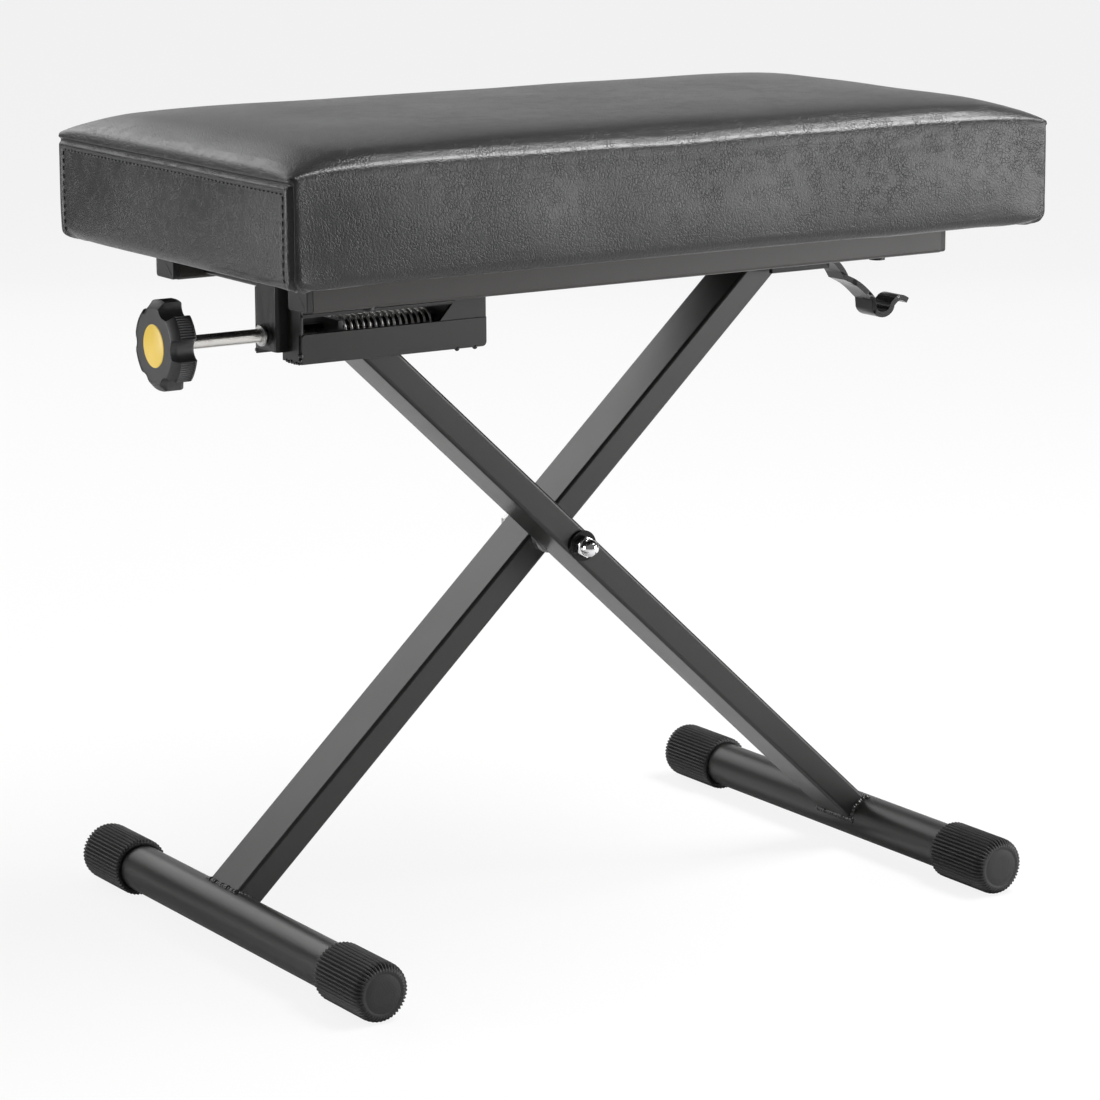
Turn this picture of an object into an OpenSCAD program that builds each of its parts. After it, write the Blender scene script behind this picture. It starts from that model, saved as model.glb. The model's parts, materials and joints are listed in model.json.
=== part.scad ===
// Height-adjustable keyboard bench with crossed folding legs.
// Millimetres, +Z up, floor at Z 0, origin under the scissor pivot, +X to the right, front at -Y.

/* [Seat] */
// Length of the cushion
seat_l = 595; // [480:5:720]
// Width of the cushion, front to back
seat_w = 322; // [260:2:380]
// Height of the cushion's side
seat_side = 68; // [50:1:90]
// Extra height of the crowned top
seat_crown = 17; // [8:1:22]
// How far the seat's middle stands right of the scissor pivot
seat_shift = 9.5; // [0:0.5:20]
// Thickness of the plywood board
board_t = 10; // [8:1:14]
// Thickness of the leatherette cover
cover_t = 1.5; // [1:0.25:2.5]
// How far the cover is folded in under the board
cover_fold = 24; // [10:1:30]

/* [Seat frame] */
// Outside size of the square rail tube
rail_size = 25; // [20:1:30]
// Distance between the outer faces of the two rails
rail_spread = 205; // [180:5:230]
// Length of a rail with its end plugs
rail_l = 509; // [420:1:540]
// Wall of all steel tube
wall = 2; // [1.5:0.5:2.5]

/* [Legs] */
// Distance between the two foot tubes
foot_spread = 498; // [420:2:560]
// Height of the scissor pivot above the floor
pivot_z = 252; // [220:1:280]
// In-plane depth of a leg tube
leg_d = 20; // [16:1:24]
// Breadth of a leg tube along Y
leg_b = 40; // [30:1:44]
// Gap between the two crossed legs
leg_gap = 5; // [3:0.5:7]
// Height of the rear leg's upper axle
axle_z = 430; // [424:1:436]

/* [Feet] */
// Diameter of a foot tube
foot_d = 32; // [26:1:38]
// Diameter over the ribs of a rubber foot
cap_d = 40; // [36:1:48]
// Length over both rubber feet
foot_l = 388; // [330:2:440]
// Length of one rubber foot
cap_l = 56; // [44:1:66]

/* [Height adjuster] */
// Diameter of the lead screw
screw_d = 9; // [8:0.5:11]
// Height of the lead screw's axis
screw_z = 415; // [413:1:417]
// Diameter of the hand knob
knob_d = 59; // [50:1:68]
// Thickness of the hand knob
knob_t = 17; // [14:1:22]
// Outside diameter of the coil spring
spring_d = 17.2; // [15:0.2:18]

/* [Hidden] */
$fn = 48;
fit = 0.05;
loose = 0.3;
sheet = 2.5;
cap_r = cap_d / 2;
foot_r = foot_d / 2;
foot_half = foot_l / 2;
lean = atan2(pivot_z - cap_r, foot_spread / 2);
lower_l = (pivot_z - cap_r) / sin(lean);
rear_l = (axle_z - pivot_z) / sin(lean);
pin_z = screw_z - 10;
front_l = (pin_z - pivot_z) / sin(lean);
axle_x = rear_l * cos(lean);
pin_x = -front_l * cos(lean);
axle_r = 5;
pin_r = 4;
bolt_r = 4;
ear_t = 3;
ear_l = 22;
rear_y0 = leg_gap / 2;
front_y0 = -leg_gap / 2 - leg_b;
rail_z0 = axle_z + 9.5;
rail_z1 = rail_z0 + rail_size;
rail_y = rail_spread / 2;
plug_t = 5;
seat_z0 = rail_z1 - cover_t;
board_l = seat_l - 24;
board_w = seat_w - 24;
fold_x = max(board_l / 2 - cover_fold, rail_l / 2 + 1);
fold_y = max(board_w / 2 - cover_fold, rail_y + 1);
screw_x = 0.4 * rail_l;
shank_r = 2.4;
beam_y = rail_y - rail_size;
beam_w = 25;
beam_h = rail_size - 3;
mid_y = front_y0 + leg_b / 2;
house_w = leg_b + 20;
house_y0 = mid_y - house_w / 2;
house_y1 = mid_y + house_w / 2;
house_x0 = pin_x - 57.8;
house_x1 = pin_x + 82.7;
house_z0 = screw_z - 16.5;
band_z1 = house_z0 + 19.5;
roof_z = screw_z + 13.5;
stop_x = pin_x + 55.7;
stop_t = 4;
nut_x0 = pin_x - 26.3;
nut_x1 = nut_x0 + 8;
cheek_gap = 1;
cheek_t = 3;
slot_w = 2 * pin_r + 4.2;
slot_top = pin_z + pin_r + 3;
web_x = house_x0 - 8.5;
web_w = 28;
web_z0 = screw_z - 10;
knob_x0 = web_x - 81.5;
knob_x1 = knob_x0 + knob_t;
badge_r = 14;
badge_t = 1;
bend_r = 2.7;
wire_d = 1.9;
lever_x = axle_x + 42;
lever_z = axle_z + 2;
lever_w = 20;
lever_t = 4;
lever_pin_r = 4;
hanger_y = lever_w / 2 + 1;

// A box from its low corner to its high corner.
module block(low, high) {
    translate(low)
        cube(high - low);
}

// A cylinder along Y from y0 to y1.
module rod_y(r, x, z, y0, y1) {
    translate([x, y1, z])
        rotate([90, 0, 0])
            cylinder(r = r, h = y1 - y0);
}

// A cylinder along X from x0 to x1.
module rod_x(r, y, z, x0, x1) {
    translate([x0, y, z])
        rotate([0, 90, 0])
            cylinder(r = r, h = x1 - x0);
}

// Half of a crowned outline: s runs from -1 at one edge to 1 at the other.
function crown_height(s) = seat_side + seat_crown * pow(1 - pow(min(abs(s), 1), 4), 0.33);

// Outline of the pad across one direction; inset shrinks it evenly for the foam inside the cover.
function crown_outline(half, inset, n) = concat(
    [[-half + inset, inset + 4]],
    [for (i = [0 : n]) let (s = -cos(180 * i / n))
        [s * (half - inset), crown_height(s) - inset]],
    [[half - inset, inset + 4], [half - inset - 4, inset], [-half + inset + 4, inset]]);

// The pad crowned both ways: one outline along X crossed with one along Y.
module pad_shape(inset) {
    intersection() {
        translate([seat_shift - seat_l / 2 + inset, 0, seat_z0])
            rotate([90, 0, 90])
                linear_extrude(seat_l - 2 * inset)
                    polygon(crown_outline(seat_w / 2, inset, 24));
        translate([seat_shift, seat_w / 2 - inset, seat_z0])
            rotate([90, 0, 0])
                linear_extrude(seat_w - 2 * inset)
                    polygon(crown_outline(seat_l / 2, inset, 32));
    }
}

// The leatherette cover, folded in under the board's edge.
module cushion_cover() {
    color([0.06, 0.06, 0.065])
        difference() {
            pad_shape(0);
            pad_shape(cover_t);
            block([seat_shift - board_l / 2, -board_w / 2, rail_z1],
                  [seat_shift + board_l / 2, board_w / 2, rail_z1 + board_t]);
            block([seat_shift - fold_x, -fold_y, seat_z0 - 1],
                  [seat_shift + fold_x, fold_y, rail_z1 + 1]);
        }
}

module cushion_foam() {
    color([0.75, 0.73, 0.68])
        difference() {
            pad_shape(cover_t);
            block([seat_shift - board_l / 2, -board_w / 2, seat_z0 - 1],
                  [seat_shift + board_l / 2, board_w / 2, rail_z1 + board_t]);
        }
}

module seat_board() {
    color([0.12, 0.12, 0.12])
        block([seat_shift - board_l / 2, -board_w / 2, rail_z1],
              [seat_shift + board_l / 2, board_w / 2, rail_z1 + board_t]);
}

// One square rail along X, centred over the seat; y0 is its low side.
module rail(y0) {
    x0 = seat_shift - rail_l / 2 + plug_t;
    x1 = seat_shift + rail_l / 2 - plug_t;
    color([0.05, 0.05, 0.055])
        difference() {
            block([x0, y0, rail_z0], [x1, y0 + rail_size, rail_z1]);
            block([x0 - 1, y0 + wall, rail_z0 + wall],
                  [x1 + 1, y0 + rail_size - wall, rail_z1 - wall]);
            for (s = [-1, 1])
                translate([seat_shift + s * screw_x, y0 + rail_size / 2, rail_z0 - 1])
                    cylinder(r = shank_r + fit, h = wall + 2);
        }
}

module rail_front() {
    rail(-rail_y);
}

module rail_rear() {
    rail(rail_y - rail_size);
}

// A plastic plug: a head the size of the tube and a tongue inside it.
module rail_plug(side, y0) {
    color([0.04, 0.04, 0.04])
        translate([seat_shift + side * (rail_l / 2 - plug_t), y0, rail_z0])
            scale([side, 1, 1])
                union() {
                    block([0, 0, 0], [plug_t, rail_size, rail_size]);
                    block([-15, wall, wall], [0.5, rail_size - wall, rail_size - wall]);
                }
}

module rail_plug_front_left() {
    rail_plug(-1, -rail_y);
}

module rail_plug_front_right() {
    rail_plug(1, -rail_y);
}

module rail_plug_rear_left() {
    rail_plug(-1, rail_y - rail_size);
}

module rail_plug_rear_right() {
    rail_plug(1, rail_y - rail_size);
}

// A cross beam welded between the rails.
module beam(x0) {
    color([0.05, 0.05, 0.055])
        difference() {
            block([x0, -beam_y, rail_z1 - beam_h], [x0 + beam_w, beam_y, rail_z1 - 1]);
            block([x0 + wall, -beam_y - 1, rail_z1 - beam_h + wall],
                  [x0 + beam_w - wall, beam_y + 1, rail_z1 - 1 - wall]);
        }
}

module beam_left() {
    beam(house_x0);
}

module beam_middle() {
    beam(house_x1 - beam_w);
}

module beam_axle() {
    beam(axle_x - 26 - beam_w);
}

module beam_right() {
    beam(lever_x - 10);
}

// Four pan-head screws that hold the rails up to the board.
module seat_screws() {
    color([0.6, 0.6, 0.62])
        for (x = [-1, 1], y = [-1, 1])
            translate([seat_shift + x * screw_x, y * (rail_y - rail_size / 2), rail_z0 - 2.5])
                union() {
                    cylinder(r = 5.5, h = 2.5);
                    cylinder(r = shank_r, h = 2.5 + wall);
                }
}

// Sheet walls of the adjuster: two side bands, a roof, gussets and an end flange.
module house_side(y0) {
    translate([0, y0 + sheet, 0])
        rotate([90, 0, 0])
            linear_extrude(sheet)
                polygon([[house_x0, house_z0], [house_x1, house_z0],
                         [house_x1, rail_z1 - beam_h],
                         [house_x1 - 14, rail_z1 - beam_h],
                         [house_x1 - 36, band_z1], [house_x0, band_z1]]);
}

module adjuster_housing() {
    color([0.05, 0.05, 0.055])
        union() {
            house_side(house_y0);
            house_side(house_y1 - sheet);
            block([house_x0, house_y0, house_z0],
                  [house_x0 + sheet, mid_y - 2 * screw_d / 3, rail_z1 - beam_h]);
            block([house_x0, mid_y + 2 * screw_d / 3, web_z0],
                  [house_x0 + sheet, house_y1, rail_z1 - beam_h]);
            block([house_x0, house_y0, roof_z], [house_x1, house_y1, roof_z + sheet]);
            block([house_x1 - beam_w, house_y0 + sheet, roof_z + sheet],
                  [house_x1 - beam_w + sheet, house_y1 - sheet, rail_z1 - beam_h]);
        }
}

// A bent bracket in front of the end flange; it carries the screw's bearing.
module bearing_bracket() {
    y0 = mid_y - web_w / 2;
    y1 = mid_y + web_w / 2;
    top = seat_z0;
    color([0.05, 0.05, 0.055])
        difference() {
            union() {
                block([web_x, y0 + bend_r, web_z0], [web_x + sheet, y1 - bend_r, top]);
                block([web_x + bend_r, y0, web_z0], [house_x0, y0 + sheet, top]);
                block([web_x + bend_r, y1 - sheet, web_z0], [house_x0, y1, top]);
                for (s = [-1, 1])
                    intersection() {
                        translate([web_x + bend_r, mid_y + s * (web_w / 2 - bend_r), web_z0])
                            cylinder(r = bend_r, h = top - web_z0);
                        block([web_x, y0, web_z0], [web_x + bend_r, y1, top]);
                    }
                rod_x(screw_d / 2 + 3, mid_y, screw_z, web_x - 1.2, web_x + sheet + 2);
            }
            rod_x(screw_d / 2 + fit, mid_y, screw_z, web_x - 3, house_x0 + 3);
        }
}

// The fixed plate at the far end of the screw; the spring pushes against it.
module spring_stop() {
    color([0.08, 0.08, 0.085])
        difference() {
            block([stop_x, house_y0 + sheet, house_z0 + 2],
                  [stop_x + stop_t, house_y1 - sheet, roof_z]);
            rod_x(screw_d / 2 + fit, mid_y, screw_z, stop_x - 1, stop_x + stop_t + 1);
        }
}

// Two plates that hold the rear leg's upper axle.
module axle_plate(y0) {
    difference() {
        union() {
            rod_y(axle_r + 4.5, axle_x, axle_z, y0, y0 + 3);
            block([axle_x - 46, y0, axle_z + 4], [axle_x + 22, y0 + 3, rail_z1 - beam_h]);
            block([axle_x - 9.5, y0, axle_z], [axle_x + 9.5, y0 + 3, axle_z + 5]);
        }
        rod_y(axle_r + fit, axle_x, axle_z, y0 - 1, y0 + 4);
    }
}

module axle_plates() {
    color([0.05, 0.05, 0.055])
        union() {
            axle_plate(rear_y0 - 4);
            axle_plate(rear_y0 + leg_b + 1);
            block([axle_x - 28, rear_y0 - 4, axle_z + 10.5],
                  [axle_x - 26, rear_y0 + leg_b + 4, rail_z1 - beam_h]);
            block([axle_x + 16, rear_y0 - 4, axle_z + 10.5],
                  [axle_x + 22, rear_y0 + leg_b + 4, rail_z1 - beam_h]);
        }
}

// The upper axle turns with the rear leg.
module rear_axle() {
    color([0.62, 0.62, 0.64])
        rod_y(axle_r, axle_x, axle_z, rear_y0 - 12, rear_y0 + leg_b + 7);
}

// Two ears that carry the release lever's pin.
module lever_hanger() {
    color([0.05, 0.05, 0.055])
        difference() {
            union()
                for (y0 = [-hanger_y - 3, hanger_y])
                    union() {
                        rod_y(8, lever_x, lever_z, y0, y0 + 3);
                        block([lever_x - 8, y0, lever_z], [lever_x + 8, y0 + 3, rail_z1 - beam_h]);
                    }
            rod_y(lever_pin_r, lever_x, lever_z, -hanger_y - 5, hanger_y + 5);
        }
}

module lever_pin() {
    color([0.62, 0.62, 0.64])
        rod_y(lever_pin_r, lever_x, lever_z, -hanger_y - 5, hanger_y + 5);
}

// Height of the lever's strap at a run from its pin, along a smooth S with a hooked end.
function strap_path() = [
    for (i = [0 : 8]) [4 + 13 * sin(i * 7), -7 - 11 * i / 8 - 5 * (1 - cos(i * 7))],
    for (i = [1 : 9]) [14.7 + 2.75 * i, -20.2 - 1.95 * i + 2.2 * sin(i * 20)],
    for (i = [0 : 12]) [48 - 8.5 * cos(20 + i * 13), -42 - 7.5 * sin(20 + i * 13)],
    for (i = [1 : 6]) [57.5 + 2.1 * i, -41 + 2.6 * sin(i * 30)]];

function side_of(p, i, d) =
    let (a = p[max(i - 1, 0)], b = p[min(i + 1, len(p) - 1)], t = (b - a) / norm(b - a))
    p[i] + d * [-t[1], t[0]];

module release_lever() {
    p = strap_path();
    n = len(p);
    outline = concat([for (i = [0 : n - 1]) side_of(p, i, lever_t / 2)],
                     [for (i = [n - 1 : -1 : 0]) side_of(p, i, -lever_t / 2)]);
    color([0.04, 0.04, 0.042])
        difference() {
            union() {
                translate([lever_x, lever_w / 2, lever_z])
                    rotate([90, 0, 0])
                        linear_extrude(lever_w)
                            polygon(outline);
                rod_y(8, lever_x, lever_z, -lever_w / 2, lever_w / 2);
                difference() {
                    block([axle_x - 8, -9, axle_z - 10], [lever_x, -5, axle_z + 3]);
                    block([axle_x - axle_r - loose, -10, axle_z],
                          [axle_x + axle_r + loose, -4, axle_z + 4]);
                    rod_y(axle_r + loose, axle_x, axle_z, -10, -4);
                }
            }
            rod_y(lever_pin_r + fit, lever_x, lever_z, -lever_w, lever_w);
        }
}

module lead_screw() {
    color([0.72, 0.72, 0.74])
        union() {
            rod_x(screw_d / 2, mid_y, screw_z, knob_x0 + 6, stop_x + stop_t + 10);
            rod_x(screw_d / 2 + 2.5, mid_y, screw_z, web_x - 3.6, web_x - 1.2 - loose);
            rod_x(screw_d / 2 + 2.5, mid_y, screw_z, stop_x + stop_t + loose, stop_x + stop_t + 4);
        }
}

// Hand knob: a round body with six finger notches and a hub.
module knob() {
    color([0.05, 0.05, 0.05])
        difference() {
            union() {
                translate([knob_x0, mid_y, screw_z])
                    rotate([0, 90, 0])
                        rotate_extrude($fn = 96)
                            polygon([[0, 0], [knob_d / 2 - 4, 0], [knob_d / 2 - 1, 1.6],
                                     [knob_d / 2, 3.5], [knob_d / 2, knob_t - 1],
                                     [knob_d / 2 - 1, knob_t], [0, knob_t]]);
                rod_x(9, mid_y, screw_z, knob_x1 - 1, knob_x1 + 3);
            }
            for (k = [0 : 5])
                rotate_notch(60 * k)
                    rod_x(7.2, 0, 0, knob_x0 - 1, knob_x1 + 1);
            rod_x(screw_d / 2, mid_y, screw_z, knob_x0 + 6, knob_x1 + 4);
            rod_x(badge_r, mid_y, screw_z, knob_x0 - 1, knob_x0 + badge_t - 0.2);
        }
}

module rotate_notch(turn) {
    translate([0, mid_y, screw_z])
        rotate([turn, 0, 0])
            translate([0, -knob_d / 2 - 0.5, 0])
                children();
}

module knob_badge() {
    color([0.92, 0.74, 0.12])
        rod_x(badge_r, mid_y, screw_z, knob_x0 - 0.2, knob_x0 + badge_t - 0.2);
}

// The nut: a boss on the screw, a cross plate and two forked cheeks over the leg's pins.
module nut_carriage() {
    y0 = front_y0 - cheek_gap - cheek_t;
    y1 = front_y0 + leg_b + cheek_gap + cheek_t;
    color([0.06, 0.06, 0.065])
        difference() {
            union() {
                rod_x(8, mid_y, screw_z, nut_x0, nut_x1);
                block([nut_x0, y0, house_z0 + 2.5], [nut_x0 + 4, y1, screw_z + 9]);
                for (y = [y0, y1 - cheek_t])
                    block([nut_x0, y, house_z0 + 2.5], [pin_x + 12, y + cheek_t, slot_top + 4]);
            }
            rod_x(screw_d / 2 + fit, mid_y, screw_z, nut_x0 - 1, nut_x1 + 1);
            block([pin_x - slot_w / 2, y0 - 1, house_z0], [pin_x + slot_w / 2, y1 + 1, slot_top]);
        }
}

// Compression spring as a stack of rings joined by a thin inner sleeve's worth of contact.
module spring() {
    x0 = nut_x1 + 0.1;
    x1 = stop_x - 0.1;
    turns = 15;
    pitch = (x1 - x0 - wire_d) / turns;
    r = (spring_d - wire_d) / 2;
    color([0.72, 0.72, 0.74])
        union() {
            for (k = [0 : turns])
                translate([x0 + wire_d / 2 + k * pitch, mid_y, screw_z])
                    rotate([0, 90, 0])
                        rotate_extrude()
                            translate([r, 0])
                                circle(d = wire_d, $fn = 16);
            for (a = [0, 180])
                rod_x(wire_d / 2 - 0.2, mid_y + r * cos(a), screw_z + r * sin(a),
                      x0 + wire_d / 2, x1 - wire_d / 2);
        }
}

// A leg tube in its own frame: pivot at the origin, +X up the leg, ends at the foot's axis and the top.
module leg_tube(up, y0) {
    difference() {
        union() {
            block([-lower_l, y0, -leg_d / 2], [up, y0 + leg_b, leg_d / 2]);
            rod_y(leg_d / 2, up, 0, y0, y0 + leg_b);
        }
        block([-lower_l - 1, y0 + wall, -leg_d / 2 + wall],
              [up + leg_d, y0 + leg_b - wall, leg_d / 2 - wall]);
    }
}

// The same tube with a square-cut upper end.
module square_tube(up, y0) {
    difference() {
        block([-lower_l, y0, -leg_d / 2], [up, y0 + leg_b, leg_d / 2]);
        block([-lower_l - 1, y0 + wall, -leg_d / 2 + wall],
              [up + 1, y0 + leg_b - wall, leg_d / 2 - wall]);
    }
}

module rear_leg() {
    color([0.05, 0.05, 0.055])
        difference() {
            translate([0, 0, pivot_z])
                rotate([0, -lean, 0])
                    leg_tube(rear_l, rear_y0);
            rod_y(foot_r, -foot_spread / 2, cap_r, rear_y0 - 1, rear_y0 + leg_b + 1);
            rod_y(axle_r, axle_x, axle_z, rear_y0 - 1, rear_y0 + leg_b + 1);
            rod_y(bolt_r, 0, pivot_z, rear_y0 - 1, rear_y0 + leg_b + 1);
        }
}

module front_leg() {
    color([0.05, 0.05, 0.055])
        difference() {
            translate([0, 0, pivot_z])
                mirror([1, 0, 0])
                    rotate([0, -lean, 0])
                        square_tube(front_l + leg_d, front_y0);
            block([pin_x - 3 * leg_d, front_y0 - 1, pin_z - pin_r - 0.6],
                  [pin_x + 3 * leg_d, front_y0 + leg_b + 1, pin_z + 3 * leg_d]);
            rod_y(foot_r, foot_spread / 2, cap_r, front_y0 - 1, front_y0 + leg_b + 1);
            rod_y(bolt_r + fit, 0, pivot_z, front_y0 - 1, front_y0 + leg_b + 1);
        }
}

// Two plates welded inside the front leg's upper end; the lead screw passes between them.
module leg_ears() {
    color([0.05, 0.05, 0.055])
        for (s = [-1, 1])
            difference() {
                translate([0, 0, pivot_z])
                    mirror([1, 0, 0])
                        rotate([0, -lean, 0])
                            ear_plate(mid_y + s * (leg_b / 2 - wall - ear_t / 2));
                rod_y(pin_r, pin_x, pin_z, front_y0 - 1, front_y0 + leg_b + 1);
            }
}

// One plate in the leg's own frame, centred on y_mid, with a rounded end about the pin.
module ear_plate(y_mid) {
    half_d = leg_d / 2 - wall;
    union() {
        block([front_l - ear_l - 18, y_mid - ear_t / 2, -half_d],
              [front_l, y_mid + ear_t / 2, half_d]);
        rod_y(half_d, front_l, 0, y_mid - ear_t / 2, y_mid + ear_t / 2);
    }
}

// Two stub pins on the front leg's ears; they stand in the nut's forks.
module leg_pins() {
    color([0.62, 0.62, 0.64])
        for (s = [-1, 1])
            rod_y(pin_r, pin_x, pin_z,
                  mid_y + min(s * (leg_b / 2 - wall - ear_t), s * (leg_b / 2 + 4.7)),
                  mid_y + max(s * (leg_b / 2 - wall - ear_t), s * (leg_b / 2 + 4.7)));
}

module foot_tube(x) {
    color([0.05, 0.05, 0.055])
        difference() {
            rod_y(foot_r, x, cap_r, -foot_half + 6, foot_half - 6);
            rod_y(foot_r - wall, x, cap_r, -foot_half, foot_half);
        }
}

module left_foot_tube() {
    foot_tube(-foot_spread / 2);
}

module right_foot_tube() {
    foot_tube(foot_spread / 2);
}

// Outline of the ribbed grip: the radius steps up and down around the circle.
function rib_outline(r, depth, n) = [
    for (i = [0 : n - 1], c = [[-0.28, 0], [0.28, 0], [0.36, 1], [0.64, 1]])
        let (a = -90 + 360 * (i + c[0]) / n)
        (r - depth * c[1]) * [cos(a), sin(a)]];

// A rubber foot: ribbed grip with a rounded, smooth end.
module foot_cap(x, side) {
    grip = cap_l - 7;
    depth = 1.1;
    color([0.03, 0.03, 0.03])
        translate([x, side * (foot_half - cap_l), cap_r])
            rotate([side > 0 ? -90 : 90, 0, 0])
                difference() {
                    union() {
                        linear_extrude(grip)
                            polygon(rib_outline(cap_r, depth, 46));
                        rotate_extrude($fn = 92)
                            polygon(concat([[0, grip - 1], [cap_r - depth, grip - 1]],
                                [for (i = [0 : 6]) [cap_r - 4.5 + (4.5 - depth) * cos(15 * i),
                                                    grip + 7 * sin(15 * i)]],
                                [[cap_r - 5.5, cap_l - 0.6], [0, cap_l - 0.6]]));
                    }
                    translate([0, 0, -1])
                        cylinder(r = foot_r, h = cap_l - 6 + 1);
                }
}

module left_foot_cap_front() {
    foot_cap(-foot_spread / 2, -1);
}

module left_foot_cap_rear() {
    foot_cap(-foot_spread / 2, 1);
}

module right_foot_cap_front() {
    foot_cap(foot_spread / 2, -1);
}

module right_foot_cap_rear() {
    foot_cap(foot_spread / 2, 1);
}

// The scissor bolt: its head behind the rear leg, its thread out past the front leg.
module pivot_bolt() {
    color([0.7, 0.7, 0.72])
        union() {
            rod_y(bolt_r, 0, pivot_z, front_y0 - 9, rear_y0 + leg_b + 3);
            translate([0, rear_y0 + leg_b + 6, pivot_z])
                rotate([90, 0, 0])
                    cylinder(r = 9, h = 6);
        }
}

module pivot_spacer() {
    color([0.55, 0.55, 0.57])
        difference() {
            rod_y(12, 0, pivot_z, -leg_gap / 2 + fit, rear_y0);
            rod_y(bolt_r, 0, pivot_z, -leg_gap, leg_gap);
        }
}

module pivot_washer() {
    color([0.05, 0.05, 0.05])
        difference() {
            rod_y(10.75, 0, pivot_z, front_y0 - 2, front_y0 - fit);
            rod_y(bolt_r, 0, pivot_z, front_y0 - 4, front_y0 + 1);
        }
}

// Chrome dome nut with a hexagonal skirt.
module pivot_nut() {
    y1 = front_y0 - 2;
    color([0.8, 0.8, 0.82])
        difference() {
            translate([0, y1, pivot_z])
                rotate([90, 0, 0])
                    union() {
                        cylinder(r = 7.5, h = 5.5, $fn = 6);
                        rotate_extrude($fn = 64)
                            polygon(concat([[0, 4], [6, 4]],
                                [for (i = [0 : 9]) [6 * cos(10 * i), 6.7 + 6 * sin(10 * i)]]));
                    }
            rod_y(bolt_r, 0, pivot_z, y1 - 7, y1 + 1);
        }
}

cushion_cover();
cushion_foam();
seat_board();
rail_front();
rail_rear();
rail_plug_front_left();
rail_plug_front_right();
rail_plug_rear_left();
rail_plug_rear_right();
beam_left();
beam_middle();
beam_right();
beam_axle();
seat_screws();
adjuster_housing();
bearing_bracket();
spring_stop();
axle_plates();
rear_axle();
lever_hanger();
lever_pin();
release_lever();
lead_screw();
knob();
knob_badge();
nut_carriage();
spring();
rear_leg();
left_foot_tube();
left_foot_cap_front();
left_foot_cap_rear();
pivot_bolt();
pivot_spacer();
pivot_washer();
pivot_nut();
front_leg();
leg_ears();
leg_pins();
right_foot_tube();
right_foot_cap_front();
right_foot_cap_rear();
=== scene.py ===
import json
import math
import random

import bmesh
import bpy
from mathutils import Matrix, Vector, kdtree, noise
from mathutils.bvhtree import BVHTree


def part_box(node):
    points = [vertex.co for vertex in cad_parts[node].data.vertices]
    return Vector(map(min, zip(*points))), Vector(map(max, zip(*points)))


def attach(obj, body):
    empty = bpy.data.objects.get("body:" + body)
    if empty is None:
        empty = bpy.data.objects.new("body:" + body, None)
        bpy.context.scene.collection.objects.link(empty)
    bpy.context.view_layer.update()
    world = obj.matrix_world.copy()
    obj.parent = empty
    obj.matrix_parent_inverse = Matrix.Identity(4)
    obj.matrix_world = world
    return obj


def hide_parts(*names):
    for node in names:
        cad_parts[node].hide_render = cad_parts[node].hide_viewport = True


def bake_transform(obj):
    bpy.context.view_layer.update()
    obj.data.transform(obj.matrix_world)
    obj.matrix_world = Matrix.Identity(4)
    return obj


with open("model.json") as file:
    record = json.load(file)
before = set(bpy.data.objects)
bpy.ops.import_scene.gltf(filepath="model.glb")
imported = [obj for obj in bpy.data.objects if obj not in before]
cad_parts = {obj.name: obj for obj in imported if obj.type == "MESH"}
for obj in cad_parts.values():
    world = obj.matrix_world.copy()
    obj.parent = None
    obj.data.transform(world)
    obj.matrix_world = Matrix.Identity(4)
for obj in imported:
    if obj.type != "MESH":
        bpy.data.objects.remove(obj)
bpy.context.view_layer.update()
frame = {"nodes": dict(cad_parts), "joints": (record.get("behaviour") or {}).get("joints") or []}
scene = bpy.context.scene
print("frame loaded")


# Small helpers that every piece uses

def boxOf(name):
    low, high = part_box(name)
    return low, high, (low + high) / 2


def meshObject(name, bm, sharpAngle=None):
    mesh = bpy.data.meshes.new(name)
    bm.to_mesh(mesh)
    bm.free()
    for face in mesh.polygons:
        face.use_smooth = True
    if sharpAngle is not None:
        mesh.set_sharp_from_angle(angle=math.radians(sharpAngle))
    made = bpy.data.objects.new(name, mesh)
    scene.collection.objects.link(made)
    return made


def finishPiece(name, bm, body, finish, sharpAngle=None, replaced=(), flat=False):
    # The bmesh is already in its place, so the object stays at the origin.
    piece = meshObject(name, bm, sharpAngle)
    piece.data.materials.append(finishes[finish])
    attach(piece, body)
    if flat:
        even = piece.modifiers.new("EvenNormals", "WEIGHTED_NORMAL")
        even.keep_sharp = True
        even.weight = 80
    if replaced:
        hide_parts(*replaced)
    return piece


def addBox(bm, low, high):
    made = bmesh.ops.create_cube(bm, size=1.0)["verts"]
    size = Vector(high) - Vector(low)
    bmesh.ops.scale(bm, vec=size, verts=made)
    bmesh.ops.translate(bm, vec=(Vector(low) + Vector(high)) / 2, verts=made)
    return made


def edgesAlong(bm, verts, axis, where=None):
    # Straight edges of a box that run along one axis, and whose middle passes the test.
    inside = set(verts)
    found = []
    for edge in bm.edges:
        if edge.verts[0] in inside and edge.verts[1] in inside:
            run = edge.verts[1].co - edge.verts[0].co
            if abs(run[axis]) > 0.9 * run.length:
                middle = (edge.verts[0].co + edge.verts[1].co) / 2
                if where is None or where(middle):
                    found.append(edge)
    return found


def bevelEdges(bm, edges, width, segments):
    return bmesh.ops.bevel(bm, geom=edges, offset=width, offset_type="OFFSET", segments=segments,
                           profile=0.5, affect="EDGES", clamp_overlap=True, material=-1)


def tubeBlank(low, high, axis, radius):
    # A rolled tube's outside, with round corners along its length.
    bm = bmesh.new()
    bevelEdges(bm, edgesAlong(bm, addBox(bm, low, high), axis), radius, 5)
    return bm


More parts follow.
